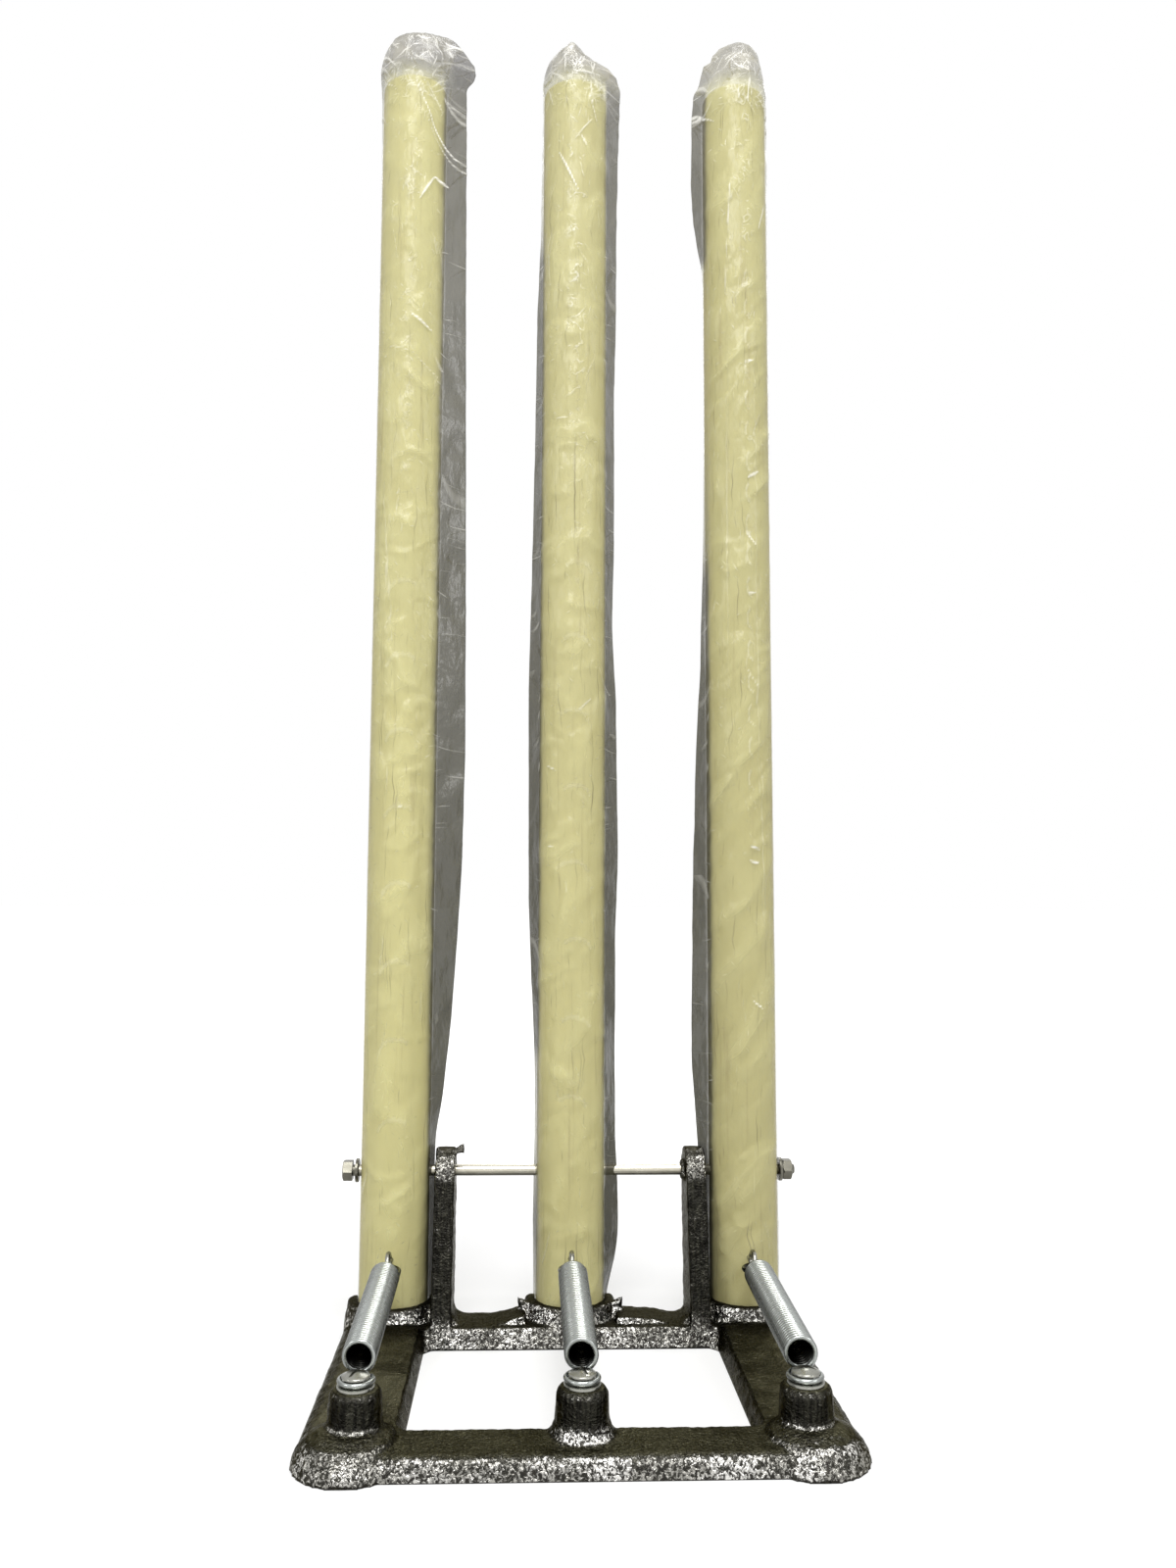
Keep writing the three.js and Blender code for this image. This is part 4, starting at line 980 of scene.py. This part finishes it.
# How far each fold stands out from its post, as (height, width)
FILM_FOLDS = {
    "left": {
        "left": [(0, 0.3), (650, 0.2), (700, 0.6), (711, 1.2)],
        "right": [(0, 1.2), (25, 2.2), (60, 2.5), (98, 2.5), (106, 3), (123, 6.1), (166, 10.3), (209, 12.9),
                  (252, 15), (319, 16), (479, 14.2), (623, 12.2), (700, 11.4), (711, 11.2)],
    },
    "middle": {
        "left": [(0, 0.6), (60, 1.5), (102, 0.9), (144, 1.2), (187, 3.2), (231, 5.2), (353, 6.2), (410, 5),
                 (480, 3.8), (575, 2.8), (624, 0.9), (698, 0.2), (711, 0.4)],
        "right": [(0, 1), (19, 1.2), (39, 6), (50, 7.6), (70, 7.5), (102, 5.9), (209, 5.7), (253, 7.4),
                  (342, 6.1), (388, 3.8), (434, 4.9), (528, 4.8), (577, 5.9), (625, 5.8), (700, 7.6), (711, 8)],
    },
    "right": {
        "left": [(0, 1.5), (60, 2.5), (102, 6.3), (144, 9.3), (187, 9.1), (253, 7.7), (320, 5.6), (366, 3.1),
                 (435, 1), (506, 0.2), (578, 0.1), (602, 0.5), (627, 4.5), (651, 6.7), (701, 6.4), (711, 5)],
        "right": [(0, 0.6), (60, 0.8), (400, 0.3), (711, 1)],
    },
}
# The crushed heads: height over the post's top, then the left and right edges from its axis
FILM_HEADS = {
    "left": [(0, -20, 30.5), (4, -20.2, 33.5), (9, -20.2, 35.5), (13, -19.4, 35), (18, -17.5, 30.5),
             (22, -15, 26.5), (26, -11.5, 22), (27.5, -8, 17)],
    "middle": [(0, -19.4, 27), (5, -19, 26), (10, -18.2, 24), (14, -16.5, 19), (17, -14, 12.5),
               (20, -10.5, 6.5), (23.5, -6.5, 2.5), (25, -4, 0)],
    "right": [(0, -22.5, 19.8), (6, -21.2, 19), (12, -20, 17.2), (17, -18.6, 15.6), (19, -14.6, 14.8),
              (23, -13.6, 13.4), (26, -9.5, 10.5), (28, -4.5, 6)],
}
HEAD_LEAN = 11.0
HEAD_DEPTH_SHARES = [(0, 1.0), (0.2, 0.95), (0.45, 0.74), (0.75, 0.42), (1.0, 0.12)]


def read(table, value, column=1):
    """A straight-line reading of a table whose first column rises."""
    table = np.array(table, float)
    return np.interp(value, table[:, 0], table[:, column])


def smoothed(values, width):
    kernel = np.hanning(width + 2)[1:-1]
    padded = np.pad(values, width // 2, mode="edge")
    return np.convolve(padded, kernel / kernel.sum(), mode="valid")[: len(values)]


# The steps round a loop lie closer together at its two sides, where the folds are
steps = 2 * math.pi * np.arange(FILM_AROUND) / FILM_AROUND
FILM_ANGLES = steps - 0.3 * np.sin(2 * steps)


def loop_reach(radius, left, right):
    """How far each point of a loop lies from the axis, for a circle drawn out into two folds."""
    reach = np.full((len(left), FILM_AROUND), radius)
    for fold, centre in ((left, math.pi), (right, 0.0)):
        off = np.abs((FILM_ANGLES - centre + math.pi) % (2 * math.pi) - math.pi)
        tangent = np.arccos(radius / (radius + fold))[:, None]
        reach = np.maximum(reach, radius / np.cos(np.clip(tangent - off[None], 0, None)))
    return reach


print("loops", FILM_LEVELS + HEAD_LEVELS, "of", FILM_AROUND, "points")


# %% [markdown]
# ### Creases
# Film creases are straight or gently curved lines. The clearest ones are listed as segments over the
# unrolled sleeve. Smaller ones are scattered by a random generator with a fixed seed, steeper and denser in
# the crushed head. Each point of the sleeve then learns how near it is to a crease, which lifts it a little
# in the mesh and brightens it in the material.

# %% Film: crease tables
CREASE_REACH = 3.2


def arch(turn_at, height, wide, tall, strength, width=0.7, start=0.0, stop=math.pi, steps=7):
    """A curved crease as short straight ones: part of an ellipse round a point of the unrolled sleeve."""
    angles = np.linspace(start, stop, steps + 1)
    at = [(turn_at + wide * math.cos(a), height + tall * math.sin(a)) for a in angles]
    return [(*near, *far, width, strength) for near, far in zip(at, at[1:])]


# From (arc, height) to (arc, height), then width and strength. The arc is 0 in front and grows to the right
BOLD_CREASES = {
    "left": [(2, 708, 30, 664, 0.55, 0.9), (10, 690, 33, 655, 0.4, 0.6), (8, 634, 20, 650, 0.7, 0.9),
             (20, 650, 27, 647, 0.8, 1), (-4, 654, 14, 646, 0.5, 0.5), (2, 564, 20, 556, 0.8, 0.9),
             (-18, 546, 6, 541, 0.5, 0.5), (6, 540, 24, 530, 0.5, 0.5), (-19, 470, -8, 372, 0.6, 0.3),
             (-4, 283, 6, 281, 0.6, 0.6)],
    "middle": [(-15, 666, 2, 641, 0.8, 1), (-2, 672, 16, 688, 0.5, 0.8), (4, 676, 10, 668, 0.8, 0.7),
               (-2, 610, 12, 596, 0.5, 0.4), (-16, 505, -6, 505, 0.5, 0.5), (3, 336, 16, 344, 0.6, 0.5),
               (-22, 306, -14, 303, 0.6, 0.7), (-22, 262, -13, 260, 0.5, 0.6)],
    "right": [(-8, 652, -11, 618, 0.6, 0.7), (-11, 618, -14, 575, 0.4, 0.5), (24, 640, 16, 620, 0.5, 0.7),
              (2, 540, 10, 541, 0.8, 0.9), (4, 471, 15, 476, 0.8, 0.8), (2, 440, 11, 432, 0.7, 0.8),
              (2, 404, 11, 405, 0.6, 0.7), (2, 362, 12, 349, 0.5, 0.5), (2, 262, 12, 260, 0.7, 0.9),
              (2, 254, 12, 252, 0.7, 0.9), (4, 178, 13, 173, 0.6, 0.9), (-11, 640, -11, 430, 0.5, 0.22),
              (-14, 560, -12, 300, 0.5, 0.22), (12, 600, 12, 240, 0.45, 0.3), (14, 330, 15, 200, 0.45, 0.25)],
}
# The right sleeve has a row of scalloped folds beside its lengthwise fold, and the others a few wide arches
for step in range(17):
    BOLD_CREASES["right"] += arch(8, 590 - 18.2 * step, 5, 6, 0.30, 0.9, 0.6 * math.pi, 1.45 * math.pi)
for height in range(120, 420, 42):
    BOLD_CREASES["middle"] += arch(-1 + (height % 5), height, 13, 7, 0.16, 1.3, 0.1, 0.8 * math.pi)
    BOLD_CREASES["left"] += arch(2 - (height % 7), height - 14, 14, 9, 0.16, 1.3, 0.25 * math.pi, 0.95 * math.pi)
print("bold creases", {side: len(lines) for side, lines in BOLD_CREASES.items()})


# %% Film: crease lines and their field
def crease_lines(seed, bold):
    """The bold creases and scattered small ones, some down the sleeve and some over its head."""
    random = np.random.default_rng(seed)
    lines = list(bold)
    for _ in range(40):
        turn_at = random.uniform(-30, 30)
        height = FILM_FOOT + 20 + (STUMP_TOP - FILM_FOOT - 20) * random.uniform(0, 1) ** 0.7
        long, lean = random.uniform(6, 26), random.uniform(-0.6, 0.6)
        lines.append((turn_at, height, turn_at + long * lean, height - long, random.uniform(0.35, 0.6),
                      random.uniform(0.1, 0.35)))
    for _ in range(34):
        turn_at, height = random.uniform(-46, 46), STUMP_TOP + random.uniform(-12, 30)
        long, angle = random.uniform(8, 24), random.normal(0.9, 0.75)
        lines.append((turn_at, height, turn_at + long * math.cos(angle), height - long * math.sin(angle),
                      random.uniform(0.4, 0.6), random.uniform(0.25, 0.8)))
    return lines


def crease_field(arc, heights, lines):
    """How near each point lies to a crease, from 0 to 1 on its line, and how strong that crease is."""
    field, strengths = np.zeros(arc.shape), np.zeros(arc.shape)
    for x0, z0, x1, z1, width, strength in lines:
        dx, dz = x1 - x0, z1 - z0
        share = np.clip(((arc - x0) * dx + (heights - z0) * dz) / (dx * dx + dz * dz), 0, 1)
        off = np.hypot(arc - x0 - share * dx, heights - z0 - share * dz)
        taper = np.sqrt(np.clip(4 * share * (1 - share), 0, 1)) * 0.8 + 0.2
        near = np.clip(1 - off / (CREASE_REACH * width * taper), 0, 1)
        strengths = np.where(near > field, strength, strengths)
        field = np.maximum(field, near)
    return field, strengths


# %% [markdown]
# ### One sleeve
# The loops up the post come first, and above it the loops close towards the crushed end. Every point is then
# pushed in or out: by soft folds where the film lies on the wood, by creases, and by hard facets in the head.
# What the material needs to know, such as fold, head and crease, is stored on the points.

# %% Film: the loops of a sleeve
def sleeve_loops(side):
    """The X, Y and Z of a sleeve's points about its post's axis, and the width of the fold beside each point."""
    heights = np.linspace(FILM_FOOT, STUMP_TOP, FILM_LEVELS)
    left, right = (smoothed(read(FILM_FOLDS[side][edge], heights), 13) + 0.02 for edge in ("left", "right"))
    reach = loop_reach(FILM_RADIUS, left, right)
    x, y = reach * np.cos(FILM_ANGLES), reach * np.sin(FILM_ANGLES)
    z = np.repeat(heights[:, None], FILM_AROUND, 1)
    # From the post's top the loops close towards the crushed end, and lean to the front
    head = np.array(FILM_HEADS[side], float)
    up = np.linspace(0, head[-1, 0], HEAD_LEVELS + 1)[1:]
    low_x, high_x = read(head, up, 1), read(head, up, 2)
    share = up / head[-1, 0]
    base = x[-1]
    span = (base - base.min()) / (base.max() - base.min())
    settle = ease(share, 0, 0.25)[:, None]
    head_x = low_x[:, None] + (high_x - low_x)[:, None] * span[None]
    head_x = base[None] * (1 - settle) + head_x * settle
    head_y = y[-1][None] * read(HEAD_DEPTH_SHARES, share)[:, None] - HEAD_LEAN * share[:, None]
    head_z = STUMP_TOP + 0.6 + np.repeat(up[:, None], FILM_AROUND, 1)
    widths = np.where(np.cos(FILM_ANGLES)[None] < 0, left[:, None], right[:, None])
    widths = np.vstack([widths, np.repeat(widths[-1:], HEAD_LEVELS, 0)])
    return np.vstack([x, head_x]), np.vstack([y, head_y]), np.vstack([z, head_z]), widths


def sleeve_faces(rows):
    """The skin between the loops, and a flat strip of quads that closes the last loop."""
    last, half = (rows - 1) * FILM_AROUND, FILM_AROUND // 2
    faces = grid_faces(rows, FILM_AROUND)
    faces += [[last + i, last + i + 1, last + FILM_AROUND - i - 1, last + (FILM_AROUND - i) % FILM_AROUND]
              for i in range(1, half - 1)]
    return faces + [[last, last + 1, last + FILM_AROUND - 1], [last + half - 1, last + half, last + half + 1]]


# %% Film: each sleeve's own numbers, its marks and its UV map
HALF_ROUND = 29
# Each sleeve: the middle and the strength of its band of short glints, how much of its crushed head hangs dark
# beside the post, and how grey all of the head is
SLEEVES = {"left": (-1.0, 0.6, 0.95, 0.42), "middle": (1.5, 1.25, 0.45, 0.2), "right": (4.0, 0.6, 0.4, 0.0)}
# How far the soft folds of each sleeve lean from level
FOLD_LEAN = {"left": 0.5, "middle": 0.2, "right": -0.28}
# How far each kind of relief pushes the film
SOFT_PUSH, LUMP_PUSH, RIPPLE_PUSH, CREASE_PUSH, CRUSH_PUSH, WAVE_PUSH = 1.7, 0.2, 0.08, 0.4, 0.4, 3.2


def sleeve_marks(side, x, z, arc, widths, seed):
    """What the material needs to know about each point, most of it from 0 to 1."""
    band, glare, dark, grey = SLEEVES[side]
    over = np.clip((z - STUMP_TOP) / 8, 0, 1)
    fold = ease(np.abs(x), STUMP_RADIUS - 2, STUMP_RADIUS - 0.1) * np.clip(widths / 1.6, 0, 1)
    lobe = np.maximum(ease(np.abs(x), STUMP_RADIUS - 3, STUMP_RADIUS + 6) * dark, grey)
    # Film that is tight at the side of its post
    rim = ease(np.abs(x), STUMP_RADIUS - 2.2, STUMP_RADIUS - 0.6) * np.clip(1 - widths / 1.6, 0, 1) * (1 - over)
    front = np.exp(-(((arc - band) / 6.5) ** 2)) * glare
    crease, strength = crease_field(arc, z, crease_lines(seed, BOLD_CREASES[side]))
    return {"fold": fold * (1 - over) + lobe * over, "head": over, "crease": crease, "strength": strength,
            "front": front, "rim": rim}


def unroll(mesh, arc, heights):
    """A UV map in metres: along the arc and up the sleeve. Faces that cross the back keep one side's arc."""
    corners = gathered(mesh.loops, "vertex_index", kind=int)
    starts = gathered(mesh.polygons, "loop_start", kind=int)
    across = arc[corners]
    counts = np.diff(np.append(starts, len(corners)))
    spans = np.maximum.reduceat(across, starts) - np.minimum.reduceat(across, starts)
    crosses_back = np.repeat(spans > 2 * HALF_ROUND + 2, counts)
    across = np.where(crosses_back & (across < 0), across + 4 * HALF_ROUND, across)
    layer = mesh.uv_layers.new(name="unrolled")
    layer.data.foreach_set("uv", (np.stack([across, heights[corners]], -1) * MM).ravel())


# %% Film: one sleeve, pushed and marked
def film_sleeve(side, place, seed):
    x, y, z, widths = sleeve_loops(side)
    cosine, sine = np.cos(FILM_ANGLES), np.sin(FILM_ANGLES)
    arc = np.where(sine < 0, cosine, np.sign(cosine) * (2 - np.abs(cosine))) * HALF_ROUND
    arc = np.repeat(arc[None], len(x), 0)
    points = np.stack([x, y, z], -1)
    flat = points.reshape(-1, 3)

    def wobble(at, size, extra=0):
        return noise_at(at, size, seed + extra).reshape(x.shape)

    marks = sleeve_marks(side, x, z, arc, widths, seed)
    over = marks["head"]
    beside = np.clip((np.abs(x) - STUMP_RADIUS) / 6, 0, 1)
    toward_top = ease(z, 520, 700)
    # Soft folds, from noise that is slanted and swirled
    slanted = np.stack([arc * 0.6 + z * FOLD_LEAN[side], z * 0.9 - arc * 0.4, 0.2 * y], -1).reshape(-1, 3)
    swirl = noise_at(slanted, 30, seed + 20)[:, None] * (9, 16, 0)
    swirled = slanted + (swirl + noise_at(slanted, 12, seed + 21)[:, None] * (3, 5, 0))
    marks["satin"] = wobble(swirled, 17) + 0.5 * wobble(swirled, 7.5, 6)
    ridge = (1 - 2 * np.abs(wobble(swirled, 19, 8))) ** 3
    soft = np.clip(marks["satin"] + 0.15, 0, None) + (0.55 - 0.25 * toward_top) * ridge
    # Lumps, ripples, creases and the facets of the crushed head
    lumps = wobble(flat * (1, 1, 0.55), 13)
    ripples = wobble(flat * (1, 1, 0.8), 5, 5)
    crush = 1 - np.abs(wobble(flat, 16, 9)) * 2.2
    crush_fine = 1 - np.abs(wobble(flat, 6, 3)) * 2.2
    raised = CREASE_PUSH * marks["crease"] ** 2 * marks["strength"]
    out = LUMP_PUSH * np.clip(lumps + 0.5, 0, None) + RIPPLE_PUSH * ripples + (SOFT_PUSH - 0.6 * toward_top) * soft
    out = out * (1 - 0.9 * np.abs(cosine[None]) ** 5) + raised
    out += toward_top * CRUSH_PUSH * np.clip(crush, 0, 1)
    out = np.clip(out, -0.15, None) * (1 - over) + over * (crush + 0.22 * crush_fine + raised)
    lengths = np.maximum(np.hypot(x, y), 1e-6)
    points[..., 0] += x / lengths * out * (1 - 0.7 * over)
    points[..., 1] += np.where(over > 0, sine, y / lengths) * out
    # The folds beside the post wave to and fro, by noise at the pushed points
    wave = wobble(flat * (0, 0, 1), 55, 2) + 0.5 * wobble(flat, 16, 4)
    points[..., 1] += wave * beside * WAVE_PUSH
    points[..., 2] += over * 0.5 * crush_fine
    made = mesh_piece(f"{side}_film", (flat, sleeve_faces(len(points))), (place * STUMP_SPACING, AXIS_Y, 0), crease=180)
    for name, values in marks.items():
        mark(made.data, name, values)
    unroll(made.data, arc.ravel(), z.ravel())
    return made


# %% [markdown]
# ### Clear film
# Film is mostly nothing: what shows is its shine along creases, painted as white strokes, its grey where two
# layers hang in the air, partly painted shade, and a milky cream where it lies on the wood in soft folds, with a
# painted sheen on their crests. So one material mixes these by how solid each is. The folds, the creases and the
# head are marked on the mesh. Finer painted highlights are the shared needles in several directions over the
# unrolled sleeve, so that they cross like real crinkles, and short curved glints.

# %% Group: curved glints, the level lines of a noise, broken into short strokes
glints, (vector, size, width, breaks, sparse), mask = new_group(
    "glints", size=60, width=0.012, breaks=120, sparse=0.55)
field = noise_value(vector, size, detail=2.5, roughness=0.55, distortion=0.8)
seen = ramp(noise_value(vector, breaks, detail=1), sparse, sparse + 0.08)
plug(mask, ramp(abs(field - 0.5), 0, width, 1, 0) * seen)
print("group", glints.name, "nodes", len(glints.nodes))

# %% Clear film: strokes
film, tree, shader = new_material("clear_film", ior=1.5, metallic=0)
coords = object_coords(tree)
unrolled = flow(tree, "ShaderNodeUVMap", "UV", uv_map="unrolled")
fold, head, crease, strength, front, satin, rim = (
    stored(tree, name) for name in ("fold", "head", "crease", "strength", "front", "satin", "rim"))
rise = parts(coords)[2]
# Each set of strokes: its direction, and how narrow and how short the strokes are
HEAD_STROKES = [(0.9, 340, 26), (-0.7, 380, 34), (1.5, 460, 55), (0.25, 400, 44)]
BODY_STROKES = [(1.25, 520, 110), (-0.9, 520, 90), (0.15, 520, 60)]


def crossed(strokes, width, kept):
    return strongest(*(use_group(needles, unrolled, turn=turned_by, across=across, along=along, width=width, kept=kept)
                       for turned_by, across, along in strokes))


head_strokes = crossed(HEAD_STROKES, 0.27, 0.72)
body_strokes = crossed(BODY_STROKES, 0.22, 0.93)
short_glints = use_group(glints, coords, size=95, width=0.036, breaks=130, sparse=0.46)
# Painted highlights: white crinkles, creases and short glints, mixed into the colour below
strokes = strongest(
    short_glints * ramp(rise, 0.36, 0.68) * ramp(front, 0, 1, 0.05, 1) * 0.9,
    body_strokes * ramp(rise, 0.1, 0.66, 0.25, 0.8),
    head_strokes * ramp(rise, 0.690, 0.716),
    ramp(crease, 0.45, 0.85) * strength,
)

# %% Clear film: how solid it is, and its colour
soft = noise_value(coords, 70, detail=1.5, roughness=0.45, distortion=0.5)
crown = ramp(rise, 0.690, 0.713) * ramp(soft, 0.3, 0.6, 0.05, 0.25)
# Where the film is tight at the side of a post it is all but invisible
on_body = (ramp(satin, -0.35, 0.5, 0.30, 0.36) + crown) * ramp(rim, 0, 1, 1, 0.15)
on_body = on_body * ramp(fold, 0, 0.6, 1, 0) + fold * ramp(rise, 0.1, 0.6, 0.80, 0.66)
# Painted shade on the crushed head: a smooth noise makes its facets lighter and darker, and more or less solid
facets = ramp(soft, 0.35, 0.68)
on_head = ramp(facets, 0, 1, 0.42, 0.58) + fold * 0.14
solid = on_body * ramp(head, 0, 1, 1, 0) + head * on_head + strokes * 0.6
# The cream is painted lighter where the soft folds stand out: a painted sheen on their crests
on_wood = mix(ramp(satin, -0.35, 0.5), (0.64, 0.605, 0.315), (0.78, 0.745, 0.405))
# The fold in the air is grey partly from its two layers and partly as painted shade, and lighter towards the top as
# painted light
in_air = mix(ramp(rise, 0.12, 0.62), (0.070, 0.066, 0.040), (0.14, 0.132, 0.100))
head_grey = mix(facets, (0.25, 0.232, 0.175), (0.49, 0.462, 0.36))
# Beside the post the head hangs darker, partly as painted shade like the fold in the air
head_grey = mix(fold, head_grey, (0.17, 0.16, 0.15))
grey = mix(head, mix(fold, on_wood, in_air), head_grey)
ripple = noise_value(object_coords(tree, (1, 1, 0.5)), 150, detail=3)
set_shader(
    shader,
    base_color=mix(strokes, grey, (0.98, 0.965, 0.90)),
    alpha=maths("MINIMUM", solid, 0.94),
    roughness=ramp(strokes, 0, 1, 0.24, 0.34),
    normal=bumped(ripple + strokes * 0.08, 0.8, 0.0016),
)
for seed, (side, place) in enumerate(LANES.items(), start=1):
    sleeve = film_sleeve(side, place, seed * 7)
    finished(sleeve, f"{side}_stump_body", "clear_film", film, f"{side}_film_sleeve")
    print(sleeve.name, "faces", len(sleeve.data.polygons))

# %% [markdown]
# ## Floor, backdrop and light
# The photograph has a plain white ground and no corner behind the object. A wide floor that the camera sees
# as white keeps that look, and it still takes the object's shadow. Large soft lamps from above, both sides,
# the front and the back give the long highlights on the springs and add to the sparkle on the paint, which is
# also painted into its colour.

# %% Floor and world
FLOOR_HALF = 30 / MM
FLOOR_GLOW_NEAR, FLOOR_GLOW_FAR = 0.16, 0.75


def seen_directly(tree):
    """1 for rays from the camera, through something or off a shiny face, which all see plain white."""
    paths = add_node(tree, "ShaderNodeLightPath").outputs
    return strongest(*(Flow(paths[f"Is {kind} Ray"]) for kind in ("Camera", "Transmission", "Glossy")))


corners = [(x * FLOOR_HALF, y * FLOOR_HALF, 0) for x, y in ((-1, -1), (1, -1), (1, 1), (-1, 1))]
floor = new_object("floor", new_mesh("floor", corners, faces=[[0, 1, 2, 3]]))
floor_material, tree, shader = new_material(
    "floor_white", roughness=0.9, specular_ior_level=0, base_color=(0.5, 0.5, 0.5))
away = flow(tree, "ShaderNodeVectorMath", "Value", {0: object_coords(tree)}, operation="LENGTH")
set_shader(
    shader,
    emission_strength=ramp(away, FLOOR_GLOW_NEAR, FLOOR_GLOW_FAR, 0.5, 0.95),
    emission_color=mix(seen_directly(tree), (0, 0, 0), (1, 1, 1)),
)
floor.data.materials.append(floor_material)

world = bpy.data.worlds.new("studio")
scene.world = world
world.use_nodes = True
background = world.node_tree.nodes["Background"]
plug(background.inputs["Color"], (1, 1, 1))
plug(background.inputs["Strength"], ramp(seen_directly(world.node_tree), 0, 1, 0.33, 1))
print("floor side", 2 * FLOOR_HALF * MM, "m")

# %% Lamps
# Each lamp: its name, place, aim, size and power
LAMPS = [
    ("key_high", (0.23, -1.08, 2.75), (0, -0.02, 0.15), (1.5, 1.0), 44.0),
    ("key_front", (-0.16, -1.25, 1.42), (0, 0.05, 0.25), (0.6, 0.45), 11.0),
    ("right_fill", (1.3, -0.9, 1.0), (0, 0.05, 0.3), (0.45, 0.45), 4.2),
    ("left_fill", (-1.3, -0.75, 0.95), (0, 0.05, 0.3), (0.45, 0.45), 4.2),
    ("back", (0.25, 1.2, 1.2), (0, 0.05, 0.3), (0.6, 0.6), 6.0),
]
for name, lamp_place, aim, (wide, deep), power in LAMPS:
    lamp_data = bpy.data.lights.new(name, "AREA")
    lamp_data.shape, lamp_data.size, lamp_data.size_y, lamp_data.energy = "RECTANGLE", wide, deep, power
    lamp = new_object(name, lamp_data)
    lamp.location = lamp_place
    lamp.rotation_euler = (Vector(aim) - Vector(lamp_place)).to_track_quat("-Z", "Y").to_euler()
scene.view_settings.view_transform = "Standard"
print("lamps", [lamp[0] for lamp in LAMPS])
